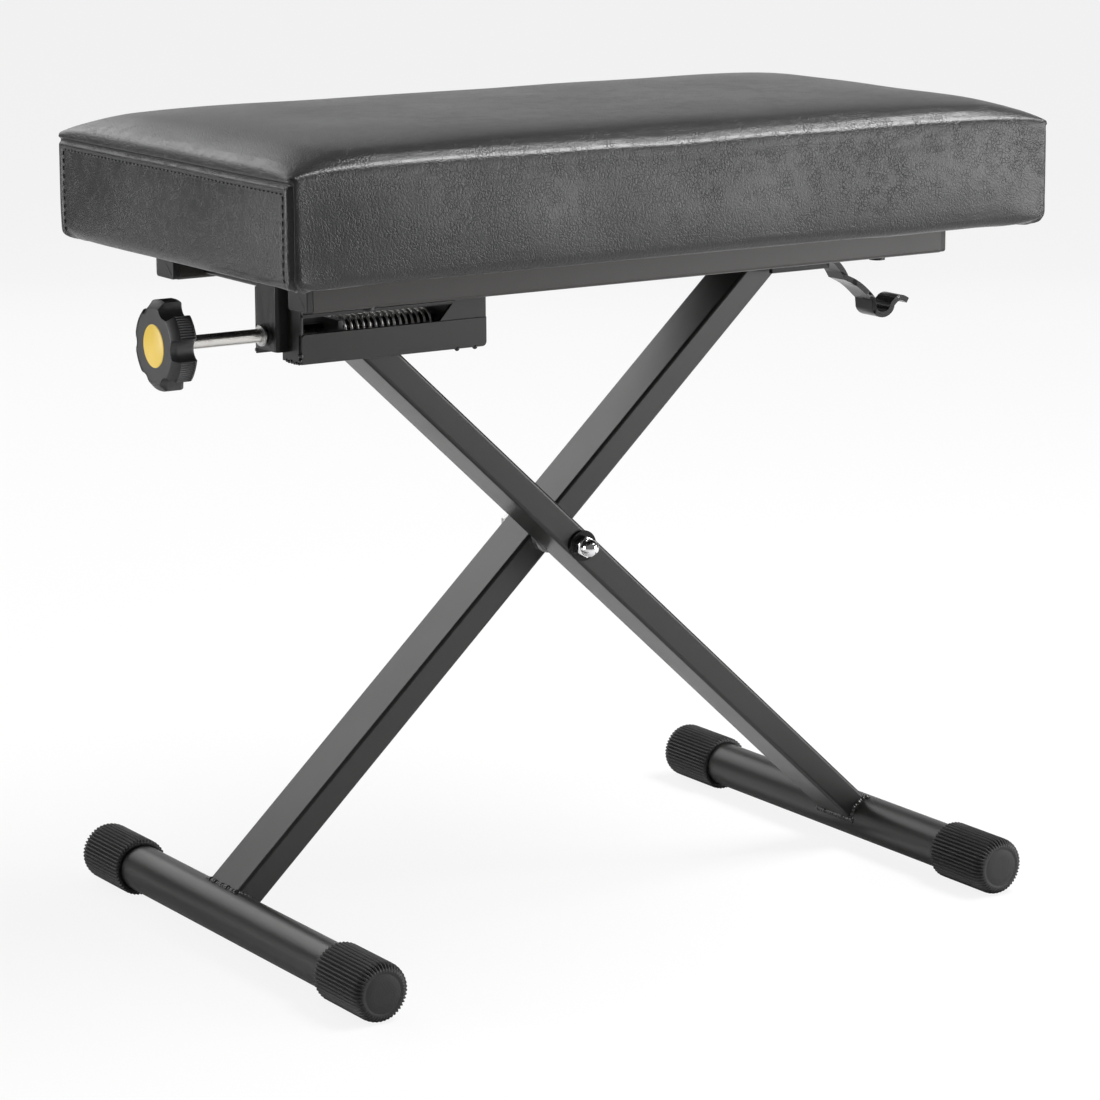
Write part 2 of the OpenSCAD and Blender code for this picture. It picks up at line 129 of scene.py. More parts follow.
def easedCopy(name, width, segments, minAngle=30, shortest=0.004):
    # A merged copy of a CAD node with its sharp straight edges eased.
    bm = bmesh.new()
    bm.from_mesh(frame["nodes"][name].data)
    bmesh.ops.remove_doubles(bm, verts=bm.verts, dist=2e-6)
    bmesh.ops.dissolve_limit(bm, angle_limit=math.radians(1.5), verts=bm.verts, edges=bm.edges)
    sharp = [e for e in bm.edges if len(e.link_faces) == 2 and e.calc_length() > shortest
             and e.calc_face_angle(0) > math.radians(minAngle)]
    bevelEdges(bm, sharp, width, segments)
    bmesh.ops.triangulate(bm, faces=[f for f in bm.faces if len(f.verts) > 4])
    return bm


def turnedShape(bm, points, centre, axis, steps):
    # Turns a half outline of (radius, along) points about the axis.
    axis = Vector(axis).normalized()
    side = axis.orthogonal().normalized()
    verts = [bm.verts.new(Vector(centre) + side * r + axis * a) for r, a in points]
    edges = [bm.edges.new((verts[i], verts[i + 1])) for i in range(len(verts) - 1)]
    bmesh.ops.spin(bm, geom=verts + edges, cent=centre, axis=axis, angle=2 * math.pi,
                   steps=steps, use_merge=True, use_duplicate=False)
    bmesh.ops.remove_doubles(bm, verts=bm.verts, dist=1e-6)
    bmesh.ops.recalc_face_normals(bm, faces=bm.faces)


def loopEdges(bm, ring):
    return [bm.edges.get((ring[i - 1], ring[i])) for i in [*range(1, len(ring)), 0]]


def nextRing(bm, ring):
    # Draws a closed ring out into a new one and returns it in the same order.
    made = bmesh.ops.extrude_edge_only(bm, edges=loopEdges(bm, ring))["geom"]
    fresh = {g for g in made if isinstance(g, bmesh.types.BMVert)}
    pairs = {edge.other_vert(vert): vert for vert in fresh for edge in vert.link_edges
             if edge.other_vert(vert) not in fresh}
    return [pairs[vert] for vert in ring]


# Shader groups: grain, soiling and creases that several finishes share

def newGroup(name, inputs, outputs):
    tree = bpy.data.node_groups.new(name, "ShaderNodeTree")
    for label, kind, value in inputs:
        socket = tree.interface.new_socket(name=label, in_out="INPUT", socket_type=kind)
        if value is not None:
            socket.default_value = value
    for label, kind in outputs:
        tree.interface.new_socket(name=label, in_out="OUTPUT", socket_type=kind)
    return tree, tree.nodes.new("NodeGroupInput"), tree.nodes.new("NodeGroupOutput")


def addNode(tree, kind, **values):
    node = tree.nodes.new(kind)
    for key, value in values.items():
        if key in node.inputs:
            node.inputs[key].default_value = value
        else:
            setattr(node, key, value)
    return node


def mathNode(tree, operation, first, second=None, clamp=False):
    node = tree.nodes.new("ShaderNodeMath")
    node.operation = operation
    node.use_clamp = clamp
    for index, value in enumerate((first, second)):
        if value is None:
            continue
        if isinstance(value, (int, float)):
            node.inputs[index].default_value = value
        else:
            tree.links.new(value, node.inputs[index])
    return node.outputs[0]


def rampNode(tree, source, stops):
    node = tree.nodes.new("ShaderNodeValToRGB")
    ramp = node.color_ramp
    while len(ramp.elements) < len(stops):
        ramp.elements.new(0.5)
    for element, (place, level) in zip(ramp.elements, stops):
        element.position = place
        element.color = (level, level, level, 1)
    tree.links.new(source, node.inputs[0])
    return node.outputs[0]


def rangeNode(tree, source, low, high):
    node = tree.nodes.new("ShaderNodeMapRange")
    tree.links.new(source, node.inputs["Value"])
    node.inputs["To Min"].default_value = low
    node.inputs["To Max"].default_value = high
    return node.outputs["Result"]


def noiseNode(tree, given, **values):
    node = addNode(tree, "ShaderNodeTexNoise", **values)
    tree.links.new(given.outputs["Vector"], node.inputs["Vector"])
    return node


def buildGrainGroup():
    # Even fine grain, such as powder coat or moulded plastic, with a slow drift in gloss.
    tree, given, out = newGroup("coatGrain", [
        ("Vector", "NodeSocketVector", None), ("Grain Scale", "NodeSocketFloat", 900.0),
        ("Drift Scale", "NodeSocketFloat", 14.0)],
        [("Height", "NodeSocketFloat"), ("Drift", "NodeSocketFloat")])
    fine = noiseNode(tree, given, Detail=3.0, Roughness=0.55)
    tree.links.new(given.outputs["Grain Scale"], fine.inputs["Scale"])
    slow = noiseNode(tree, given, Detail=4.0, Roughness=0.6)
    tree.links.new(given.outputs["Drift Scale"], slow.inputs["Scale"])
    tree.links.new(fine.outputs["Fac"], out.inputs["Height"])
    tree.links.new(slow.outputs["Fac"], out.inputs["Drift"])
    return tree


def buildDustGroup():
    # Faint specks and smears, strongest on faces that look up.
    tree, given, out = newGroup("shopDust", [
        ("Vector", "NodeSocketVector", None), ("Normal", "NodeSocketVector", None),
        ("Amount", "NodeSocketFloat", 0.2)], [("Mask", "NodeSocketFloat")])
    specks = noiseNode(tree, given, Scale=1400.0, Detail=2.0)
    smears = noiseNode(tree, given, Scale=26.0, Detail=5.0, Roughness=0.65)
    split = tree.nodes.new("ShaderNodeSeparateXYZ")
    tree.links.new(given.outputs["Normal"], split.inputs[0])
    speck = rampNode(tree, specks.outputs["Fac"], [(0.62, 0.0), (0.74, 1.0)])
    smear = rampNode(tree, smears.outputs["Fac"], [(0.45, 0.0), (0.8, 1.0)])
    up = mathNode(tree, "MAXIMUM", split.outputs["Z"], 0.0)
    lift = mathNode(tree, "MULTIPLY_ADD", up, 0.7)
    lift.node.inputs[2].default_value = 0.3
    both = mathNode(tree, "ADD", mathNode(tree, "MULTIPLY", speck, 0.5), smear)
    mask = mathNode(tree, "MULTIPLY", mathNode(tree, "MULTIPLY", both, lift), given.outputs["Amount"],
                    clamp=True)
    tree.links.new(mask, out.inputs["Mask"])
    return tree


def buildCreaseGroup():
    # Leatherette: fine creases at every angle over soft pebbles, in calmer and busier patches. The Crease
    # output also carries painted shade: it darkens the colour along the crease lines.
    tree, given, out = newGroup("leatherCrease", [
        ("Vector", "NodeSocketVector", None), ("Pebble Scale", "NodeSocketFloat", 700.0),
        ("Crease Scale", "NodeSocketFloat", 330.0)],
        [("Height", "NodeSocketFloat"), ("Crease", "NodeSocketFloat"), ("Patch", "NodeSocketFloat")])
    warp = noiseNode(tree, given, Scale=240.0, Detail=3.0, Roughness=0.6)
    shift = tree.nodes.new("ShaderNodeVectorMath")
    shift.operation = "MULTIPLY_ADD"
    tree.links.new(warp.outputs["Color"], shift.inputs[0])
    shift.inputs[1].default_value = (0.004, 0.004, 0.004)
    tree.links.new(given.outputs["Vector"], shift.inputs[2])
    pebble = noiseNode(tree, given, Detail=3.0, Roughness=0.5)
    tree.links.new(given.outputs["Pebble Scale"], pebble.inputs["Scale"])
    crease = addNode(tree, "ShaderNodeTexVoronoi", feature="DISTANCE_TO_EDGE")
    tree.links.new(shift.outputs[0], crease.inputs["Vector"])
    tree.links.new(given.outputs["Crease Scale"], crease.inputs["Scale"])
    patch = noiseNode(tree, given, Scale=16.0, Detail=5.0, Roughness=0.6)
    fleck = noiseNode(tree, given, Scale=110.0, Detail=2.0)
    busy = mathNode(tree, "MULTIPLY", rampNode(tree, patch.outputs["Fac"], [(0.38, 0.6), (0.62, 1.0)]),
                    rampNode(tree, fleck.outputs["Fac"], [(0.40, 0.35), (0.6, 1.0)]))
    line = rampNode(tree, crease.outputs["Distance"], [(0.0, 0.0), (0.16, 1.0)])
    sunk = mathNode(tree, "MULTIPLY", mathNode(tree, "SUBTRACT", line, 1.0), busy)
    height = mathNode(tree, "ADD", mathNode(tree, "MULTIPLY", pebble.outputs["Fac"], 1.1), sunk)
    tree.links.new(height, out.inputs["Height"])
    tree.links.new(mathNode(tree, "ADD", sunk, 1.0), out.inputs["Crease"])
    tree.links.new(patch.outputs["Fac"], out.inputs["Patch"])
    return tree


def buildBrushGroup():
    # Fine turned or drawn lines; the stretch makes them long across the vector given.
    tree, given, out = newGroup("drawnLines", [
        ("Vector", "NodeSocketVector", None), ("Stretch", "NodeSocketVector", (1.0, 1.0, 1.0))],
        [("Height", "NodeSocketFloat"), ("Tone", "NodeSocketFloat")])
    scaled = tree.nodes.new("ShaderNodeVectorMath")
    scaled.operation = "MULTIPLY"
    tree.links.new(given.outputs["Vector"], scaled.inputs[0])
    tree.links.new(given.outputs["Stretch"], scaled.inputs[1])
    lines = addNode(tree, "ShaderNodeTexNoise", Scale=1.0, Detail=3.0, Roughness=0.7)
    tree.links.new(scaled.outputs[0], lines.inputs["Vector"])
    tone = noiseNode(tree, given, Scale=60.0, Detail=3.0)
    tree.links.new(lines.outputs["Fac"], out.inputs["Height"])
    tree.links.new(tone.outputs["Fac"], out.inputs["Tone"])
    return tree


groups = {"grain": buildGrainGroup(), "dust": buildDustGroup(),
          "crease": buildCreaseGroup(), "brush": buildBrushGroup()}
print("shader groups built")


# Finishes

def startFinish(name, look):
    material = bpy.data.materials.new(name)
    material.use_nodes = True
    tree = material.node_tree
    shader = tree.nodes["Principled BSDF"]
    shader.inputs["Base Color"].default_value = (*look["colour"], 1)
    shader.inputs["Roughness"].default_value = look["roughness"]
    shader.inputs["Metallic"].default_value = look.get("metallic", 0.0)
    shader.inputs["Specular IOR Level"].default_value = look.get("specular", 0.5)
    place = tree.nodes.new("ShaderNodeTexCoord")
    return material, tree, shader, place


def placeGroup(tree, key, place, **values):
    node = tree.nodes.new("ShaderNodeGroup")
    node.node_tree = groups[key]
    tree.links.new(place.outputs["Object"], node.inputs["Vector"])
    for label, value in values.items():
        node.inputs[label.replace("_", " ")].default_value = value
    return node


def mixColours(tree, mask, first, second):
    node = tree.nodes.new("ShaderNodeMix")
    node.data_type = "RGBA"
    tree.links.new(mask, node.inputs["Factor"])
    for key, colour in (("A", first), ("B", second)):
        if isinstance(colour, tuple):
            node.inputs[key].default_value = (*colour, 1)
        else:
            tree.links.new(colour, node.inputs[key])
    return node.outputs["Result"]


def glossRange(tree, source, look):
    return rangeNode(tree, source, look["roughness"] - look["spread"], look["roughness"] + look["spread"])


def addBump(tree, shader, height, depth):
    bump = addNode(tree, "ShaderNodeBump", Strength=1.0, Distance=depth)
    tree.links.new(height, bump.inputs["Height"])
    tree.links.new(bump.outputs["Normal"], shader.inputs["Normal"])


def coatFinish(name, look):
    # Painted and moulded finishes: grain bump, drifting gloss, dust and a duller tone where it lies.
    material, tree, shader, place = startFinish(name, look)
    grain = placeGroup(tree, "grain", place, Grain_Scale=look["grain"], Drift_Scale=look["drift"])
    dust = placeGroup(tree, "dust", place, Amount=look["dust"])
    tree.links.new(place.outputs["Normal"], dust.inputs["Normal"])
    tree.links.new(mixColours(tree, dust.outputs["Mask"], look["colour"], look["dustColour"]),
                   shader.inputs["Base Color"])
    duller = mathNode(tree, "MULTIPLY", dust.outputs["Mask"], 0.3)
    gloss = glossRange(tree, grain.outputs["Drift"], look)
    tree.links.new(mathNode(tree, "ADD", gloss, duller, clamp=True), shader.inputs["Roughness"])
    addBump(tree, shader, grain.outputs["Height"], look["depth"])
    return material


def metalFinish(name, look):
    material, tree, shader, place = startFinish(name, look)
    brush = placeGroup(tree, "brush", place, Stretch=look["stretch"])
    tree.links.new(mixColours(tree, brush.outputs["Tone"], look["colour"], look["dull"]),
                   shader.inputs["Base Color"])
    tree.links.new(glossRange(tree, brush.outputs["Tone"], look), shader.inputs["Roughness"])
    addBump(tree, shader, brush.outputs["Height"], look["depth"])
    return material


def leatherFinish(name, look):
    material, tree, shader, place = startFinish(name, look)
    crease = placeGroup(tree, "crease", place, Pebble_Scale=look["pebble"], Crease_Scale=look["crease"])
    dust = placeGroup(tree, "dust", place, Amount=look["dust"])
    tree.links.new(place.outputs["Normal"], dust.inputs["Normal"])
    # painted shade: the crease lines take a darker colour, as if shadowed in their grooves
    creaseShaded = mixColours(tree, crease.outputs["Crease"], look["creaseShadeColour"], look["colour"])
    tree.links.new(mixColours(tree, dust.outputs["Mask"], creaseShaded, look["dustColour"]),
                   shader.inputs["Base Color"])
    tree.links.new(glossRange(tree, crease.outputs["Patch"], look), shader.inputs["Roughness"])
    addBump(tree, shader, crease.outputs["Height"], look["depth"])
    return material


def weaveFinish(name, look):
    # Pressed non-woven cloth: short crossed fibres with a dotted bond pattern.
    material, tree, shader, place = startFinish(name, look)
    grain = placeGroup(tree, "grain", place, Grain_Scale=look["grain"], Drift_Scale=look["drift"])
    dots = addNode(tree, "ShaderNodeTexVoronoi", Scale=look["bond"], Randomness=0.15)
    tree.links.new(place.outputs["Object"], dots.inputs["Vector"])
    bonded = rampNode(tree, dots.outputs["Distance"], [(0.15, 0.0), (0.4, 1.0)])
    tree.links.new(mixColours(tree, bonded, look["bondColour"], look["colour"]), shader.inputs["Base Color"])
    tree.links.new(glossRange(tree, grain.outputs["Drift"], look), shader.inputs["Roughness"])
    height = mathNode(tree, "ADD", mathNode(tree, "MULTIPLY", bonded, 0.6), grain.outputs["Height"])
    addBump(tree, shader, height, look["depth"])
    return material


finishes = {
    "leatherette": leatherFinish("blackLeatherette", {
        # the darker crease colour is painted shade in the crease lines
        "colour": (0.0095, 0.0095, 0.0098), "creaseShadeColour": (0.005, 0.005, 0.005),
        "roughness": 0.34, "spread": 0.035, "specular": 0.5, "pebble": 800.0, "crease": 410.0,
        "depth": 0.00014, "dust": 0.02, "dustColour": (0.06, 0.058, 0.055)}),
    "powderCoat": coatFinish("powderCoatBlack", {
        "colour": (0.012, 0.0115, 0.011), "roughness": 0.34, "spread": 0.06, "specular": 0.4,
        "grain": 1500.0, "drift": 11.0, "depth": 0.00006, "dust": 0.06, "dustColour": (0.09, 0.085, 0.08)}),
    "legCoat": coatFinish("powderCoatLeg", {
        "colour": (0.0125, 0.012, 0.0115), "roughness": 0.34, "spread": 0.06, "specular": 0.45,
        "grain": 1500.0, "drift": 8.0, "depth": 0.00006, "dust": 0.06, "dustColour": (0.09, 0.085, 0.08)}),
    "railCoat": coatFinish("powderCoatRail", {
        "colour": (0.034, 0.031, 0.029), "roughness": 0.36, "spread": 0.06, "specular": 0.42,
        "grain": 1400.0, "drift": 9.0, "depth": 0.00006, "dust": 0.06, "dustColour": (0.09, 0.085, 0.08)}),
    "glossBlack": coatFinish("glossBlackPaint", {
        "colour": (0.006, 0.006, 0.006), "roughness": 0.2, "spread": 0.04, "specular": 0.22,
        "grain": 700.0, "drift": 30.0, "depth": 0.00004, "dust": 0.04, "dustColour": (0.1, 0.1, 0.1)}),
    "plugPlastic": coatFinish("plugPlastic", {
        "colour": (0.010, 0.010, 0.010), "roughness": 0.5, "spread": 0.06, "grain": 1600.0,
        "drift": 25.0, "depth": 0.00008, "dust": 0.08, "dustColour": (0.08, 0.08, 0.08)}),
    "knobPlastic": coatFinish("knobPlastic", {
        "colour": (0.020, 0.020, 0.022), "roughness": 0.46, "spread": 0.07, "grain": 1800.0,
        "drift": 35.0, "depth": 0.00009, "dust": 0.12, "dustColour": (0.11, 0.11, 0.11)}),
    "badgeYellow": coatFinish("badgeYellow", {
        "colour": (0.86, 0.60, 0.09), "roughness": 0.38, "spread": 0.05, "grain": 1300.0,
        "drift": 60.0, "depth": 0.00004, "dust": 0.15, "dustColour": (0.45, 0.33, 0.12)}),
    "rubber": coatFinish("footRubber", {
        "colour": (0.014, 0.014, 0.014), "roughness": 0.5, "spread": 0.08, "specular": 0.35,
        "grain": 1100.0, "drift": 30.0, "depth": 0.0001, "dust": 0.16, "dustColour": (0.07, 0.068, 0.065)}),
    "weld": coatFinish("weldUnderCoat", {
        "colour": (0.016, 0.0155, 0.015), "roughness": 0.27, "spread": 0.08, "grain": 900.0,
        "drift": 80.0, "depth": 0.00015, "dust": 0.08, "dustColour": (0.09, 0.085, 0.08)}),
    "thread": coatFinish("sewingThread", {
        "colour": (0.035, 0.035, 0.037), "roughness": 0.38, "spread": 0.08, "grain": 3200.0,
        "drift": 90.0, "depth": 0.00012, "dust": 0.05, "dustColour": (0.08, 0.08, 0.08)}),
    "dustCloth": weaveFinish("dustCloth", {
        "colour": (0.018, 0.018, 0.019), "bondColour": (0.009, 0.009, 0.010), "roughness": 0.86,
        "spread": 0.06, "specular": 0.2, "grain": 1900.0, "drift": 20.0, "bond": 420.0, "depth": 0.0002}),
    "zinc": metalFinish("zincPlate", {
        "colour": (0.62, 0.62, 0.60), "dull": (0.42, 0.42, 0.42), "metallic": 1.0, "roughness": 0.34,
        "spread": 0.08, "stretch": (900.0, 900.0, 900.0), "depth": 0.00003}),
    "satinSteel": metalFinish("satinSteel", {
        "colour": (0.68, 0.66, 0.63), "dull": (0.50, 0.49, 0.47), "metallic": 1.0, "roughness": 0.26,
        "spread": 0.06, "stretch": (3200.0, 160.0, 160.0), "depth": 0.00002}),
    "oiledSteel": metalFinish("oiledSteel", {
        "colour": (0.10, 0.095, 0.09), "dull": (0.05, 0.05, 0.05), "metallic": 1.0, "roughness": 0.42,
        "spread": 0.06, "stretch": (500.0, 500.0, 500.0), "depth": 0.00002}),
    "springSteel": metalFinish("springSteel", {
        "colour": (0.93, 0.92, 0.90), "dull": (0.78, 0.77, 0.75), "metallic": 1.0, "roughness": 0.36,
        "spread": 0.05, "stretch": (700.0, 700.0, 700.0), "depth": 0.00001}),
    "chrome": metalFinish("chromePlate", {
        "colour": (0.80, 0.80, 0.81), "dull": (0.70, 0.70, 0.71), "metallic": 1.0, "roughness": 0.07,
        "spread": 0.03, "stretch": (120.0, 120.0, 120.0), "depth": 0.000004}),
}
print("finishes built")


# Cushion: a crowned pad swollen by a cloth simulation, then seamed

cushionSettings = {
    "fineSteps": (0.0, 0.0008, 0.0018, 0.003, 0.0045, 0.0062, 0.008, 0.0102, 0.013, 0.0165, 0.021,
                  0.027, 0.034),
    "coarseSteps": (0.0, 0.004, 0.011, 0.02),
    "fineGap": 0.008, "coarseGap": 0.011, "crown": 0.0165, "sideHeight": 0.068,
    "crownPower": 4.0, "endPower": 7.0, "crownRoot": 0.33, "cornerRound": 0.0062, "deflate": 0.0006,
    "hem": 0.0085, "pressure": 4.0, "frames": 20, "cap": 0.0034, "smooth": 14, "seamDepth": 0.0022,
    "bandLift": 0.0008, "seamInset": 0.0022, "stitchTop": 0.0082, "stitchSide": 0.0105, "fold": 0.024,
    "unevenness": 0.0006, "pleat": 0.0011, "waver": 0.0011, "boardSink": 0.0022, "foldSink": 0.0009,
}


def gridPositions(half, steps, gap):
    # Loop places from one side to the other: the given steps near both ends and an even gap between.
    inner = half - steps[-1]
    count = max(2, round(2 * inner / gap))
    middle = [-inner + 2 * inner * i / count for i in range(count + 1)]
    places = [-half + s for s in steps] + [half - s for s in steps] + middle
    return sorted({round(place, 6) for place in places})


def crownAt(x, y, halfL, halfW):
    s = cushionSettings
    alongX = max(0.0, 1 - abs(x / halfL) ** s["endPower"]) ** s["crownRoot"]
    alongY = max(0.0, 1 - abs(y / halfW) ** s["crownPower"]) ** s["crownRoot"]
    return s["crown"] * alongX * alongY


def cushionBlank(centre, halfL, halfW, base, steps, gap):
    # A cube cut by planes into a grid of loops, then raised into the crown with its corners drawn in.
    s = cushionSettings
    height = s["sideHeight"]
    bm = bmesh.new()
    addBox(bm, (-halfL, -halfW, 0), (halfL, halfW, height))
    for axis, places in ((0, gridPositions(halfL, steps, gap)), (1, gridPositions(halfW, steps, gap)),
                         (2, [p + height / 2 for p in gridPositions(height / 2, steps[:-2], gap)])):
        normal = Vector((0, 0, 0))
        normal[axis] = 1
        for place in places:
            bmesh.ops.bisect_plane(bm, geom=bm.verts[:] + bm.edges[:] + bm.faces[:], dist=1e-6,
                                   plane_co=normal * place, plane_no=normal)
    for vert in bm.verts:
        x, y, z = vert.co
        lift = crownAt(x, y, halfL, halfW) * max(0.0, z / height) ** 3
        # upright corners: the side panels meet on a small radius
        nearX, nearY = halfL - abs(x), halfW - abs(y)
        r = s["cornerRound"]
        if nearX < r and nearY < r:
            dx, dy = r - nearX, r - nearY
            reach = math.hypot(dx, dy)
            if reach > r:
                x -= math.copysign(dx - dx * r / reach, x)
                y -= math.copysign(dy - dy * r / reach, y)
        # the lower rim rolls under to the board
        drop = s["hem"] - z
        if drop > 0:
            roll = s["hem"] - math.sqrt(max(0.0, s["hem"] ** 2 - drop ** 2))
            x -= math.copysign(min(roll, abs(x)) * max(0.0, 1 - nearX / 0.02), x)
            y -= math.copysign(min(roll, abs(y)) * max(0.0, 1 - nearY / 0.02) * 0.75, y)
        vert.co = Vector((x + centre.x, y + centre.y, base + z + lift))
    return bm


def swellField(centre, halfL, halfW, base):
    # Swells a coarse pad by cloth pressure and returns where each of its points went.
    s = cushionSettings
    pad = meshObject("padSim", cushionBlank(centre, halfL - s["deflate"], halfW - s["deflate"], base,
                                            s["coarseSteps"], s["coarseGap"]))
    mesh = pad.data
    held = pad.vertex_groups.new(name="held")
    top = base + s["sideHeight"]
    for vert in mesh.vertices:
        x, y, z = vert.co - Vector((centre.x, centre.y, 0))
        nearEnd = halfL - abs(x) < 0.006
        nearSide = halfW - abs(y) < 0.006
        weight = 0.0
        if z < base + 0.003:
            weight = 1.0
        elif nearEnd and (nearSide or z > top - 0.004):
            weight = 0.75
        if weight:
            held.add([vert.index], weight, "REPLACE")
    rest = [vert.co.copy() for vert in mesh.vertices]
    cloth = pad.modifiers.new("Cloth", "CLOTH")
    for key, value in {"quality": 6, "mass": 0.3, "tension_stiffness": 22, "compression_stiffness": 22,
                       "shear_stiffness": 12, "bending_stiffness": 1.2, "use_pressure": True,
                       "uniform_pressure_force": s["pressure"], "shrink_min": -0.008,
                       "vertex_group_mass": "held", "pin_stiffness": 3.0}.items():
        setattr(cloth.settings, key, value)
    cloth.settings.effector_weights.gravity = 0.0
    cloth.collision_settings.use_collision = False
    cloth.point_cache.frame_start = 1
    cloth.point_cache.frame_end = s["frames"]
    for number in range(1, s["frames"] + 1):
        scene.frame_set(number)
    swollen = pad.evaluated_get(bpy.context.evaluated_depsgraph_get())
    moved = [vert.co.copy() for vert in swollen.to_mesh().vertices]
    swollen.to_mesh_clear()
    steps = [after - before for before, after in zip(rest, moved)]
    beside = [[] for _ in rest]
    for edge in mesh.edges:
        a, b = edge.vertices
        beside[a].append(b)
        beside[b].append(a)
    # foam evens out the sheet's small buckles, so the swelling is averaged with its neighbours
    for _ in range(s["smooth"]):
        steps = [(steps[i] + sum((steps[j] for j in beside[i]), Vector()) / len(beside[i])) / 2
                 for i in range(len(steps))]
    bpy.data.objects.remove(pad)
    scene.frame_set(1)
    field = []
    for before, step in zip(rest, steps):
        if step.length > s["cap"]:
            step = step * (s["cap"] / step.length)
        field.append((before, step))
    print("pad swollen, largest move %.1f mm" % (1000 * max(step.length for _, step in field)))
    return field


def applyField(bm, field):
    tree = kdtree.KDTree(len(field))
    for index, (place, _) in enumerate(field):
        tree.insert(place, index)
    tree.balance()
    for vert in bm.verts:
        total, shift = 0.0, Vector()
        for _, index, distance in tree.find_n(vert.co, 8):
            weight = 1 / (distance + 0.002) ** 3
            total += weight
            shift += field[index][1] * weight
        vert.co += shift / total


def seamProfile(distance, lift, depth, stitch):
    # Height across a top-stitched seam: a rolled edge, the groove, a low band and the stitch line.
    groove = -depth * math.exp(-(distance / 0.0011) ** 2)
    roll = 0.0007 * math.exp(-((distance + 0.0022) / 0.0012) ** 2)
    band = lift * math.exp(-((distance - stitch * 0.55) / (stitch * 0.42)) ** 4)
    sewn = -0.0006 * math.exp(-((distance - stitch) / 0.0013) ** 2)
    return groove + roll + band + sewn


def buildCushion():
    s = cushionSettings
    low, high, _ = boxOf("cushion_cover")
    halfL, halfW = (high.x - low.x) / 2, (high.y - low.y) / 2
    centre = Vector(((high.x + low.x) / 2, (high.y + low.y) / 2, 0))
    base = low.z
    top = base + s["sideHeight"]
    boardLow, boardHigh, _ = boxOf("seat_board")
    bm = cushionBlank(centre, halfL - s["deflate"], halfW - s["deflate"], base, s["fineSteps"],
                      s["fineGap"])
    applyField(bm, swellField(centre, halfL, halfW, base))
    bm.normal_update()
    moves = []
    for vert in bm.verts:
        p = vert.co
        fromEnd = halfL - s["deflate"] - abs(p.x - centre.x)
        fromSide = halfW - s["deflate"] - abs(p.y)
        move = Vector()
        if abs(vert.normal.x) > 0.6 and fromEnd < 0.012:
            outward = Vector((math.copysign(1, p.x - centre.x), 0, 0))
            across = fromSide - s["seamInset"]
            down = top - s["seamInset"] - p.z
            if down < across * 0.75:
                distance, stitch = down, s["stitchTop"]
            else:
                distance, stitch = across, s["stitchSide"]
            move += outward * seamProfile(distance, s["bandLift"], s["seamDepth"], stitch - s["seamInset"])
        # the sheet gathers under the lower corners and hangs a little unevenly along the bottom
        cornerX, cornerY = halfL - abs(p.x - centre.x), halfW - abs(p.y)
        nearCorner = math.exp(-((cornerX ** 2 + cornerY ** 2) / 0.045 ** 2))
        low01 = max(0.0, 1 - (p.z - base) / 0.02)
        angle = math.atan2(cornerY + 1e-4, cornerX + 1e-4)
        pleat = math.sin(angle * 17 + 2.0 * noise.noise(p * 40)) * s["pleat"] * nearCorner * low01
        if p.z - base < 0.03:
            move += vert.normal * pleat
            waver = (noise.noise(Vector((p.x * 9, p.y * 9, 3.1)))
                     + 0.5 * noise.noise(Vector((p.x * 31, p.y * 31, 8.7))))
            move.z += s["waver"] * waver * low01
        # slow hand-made unevenness everywhere
        move += vert.normal * s["unevenness"] * noise.noise(p * 13 + Vector((4.2, 1.7, 0.3)))
        moves.append(move)
    for vert, move in zip(bm.verts, moves):
        vert.co += move
    # the underside sinks in to the board between the folded margins
    foldX = (boardHigh.x - boardLow.x) / 2 - s["fold"]
    foldY = (boardHigh.y - boardLow.y) / 2 - s["fold"]
    for vert in bm.verts:
        p = vert.co
        if p.z < base + 0.006 and vert.normal.z < -0.8:
            inside = min(foldX - abs(p.x - centre.x), foldY - abs(p.y))
            if inside > -0.002:
                p.z = base + s["boardSink"]
            else:
                p.z = min(p.z, base + s["foldSink"])
    bmesh.ops.recalc_face_normals(bm, faces=bm.faces)
    surface = BVHTree.FromBMesh(bm)
    pad = finishPiece("cushionPad", bm, "seat", "leatherette",
                      replaced=("cushion_cover", "cushion_foam"))
    smoother = pad.modifiers.new("Subdivision", "SUBSURF")
    smoother.levels = 1
    smoother.render_levels = 1
    return surface, centre, halfL, halfW, base, top


cushionSurface, seatCentre, seatHalfL, seatHalfW, seatBase, seatTop = buildCushion()
print("cushion built")


# Stitches: a row of thread loops along each end panel, set into the cover

stitchSettings = {"length": 0.0036, "pitch": 0.0050, "thick": 0.0012, "sink": -0.00045}


def stitchBlank(bm, matrix):
    s = stitchSettings
    made = bmesh.ops.create_icosphere(bm, subdivisions=1, radius=0.5)["verts"]
    bmesh.ops.scale(bm, vec=(s["length"], s["thick"], s["thick"]), verts=made)
    bmesh.ops.transform(bm, matrix=matrix, verts=made)


def rowPoints(a, b, pitch):
    count = max(1, int((b - a).length / pitch))
    return [a.lerp(b, (i + 0.5) / count) for i in range(count)], (b - a).normalized()


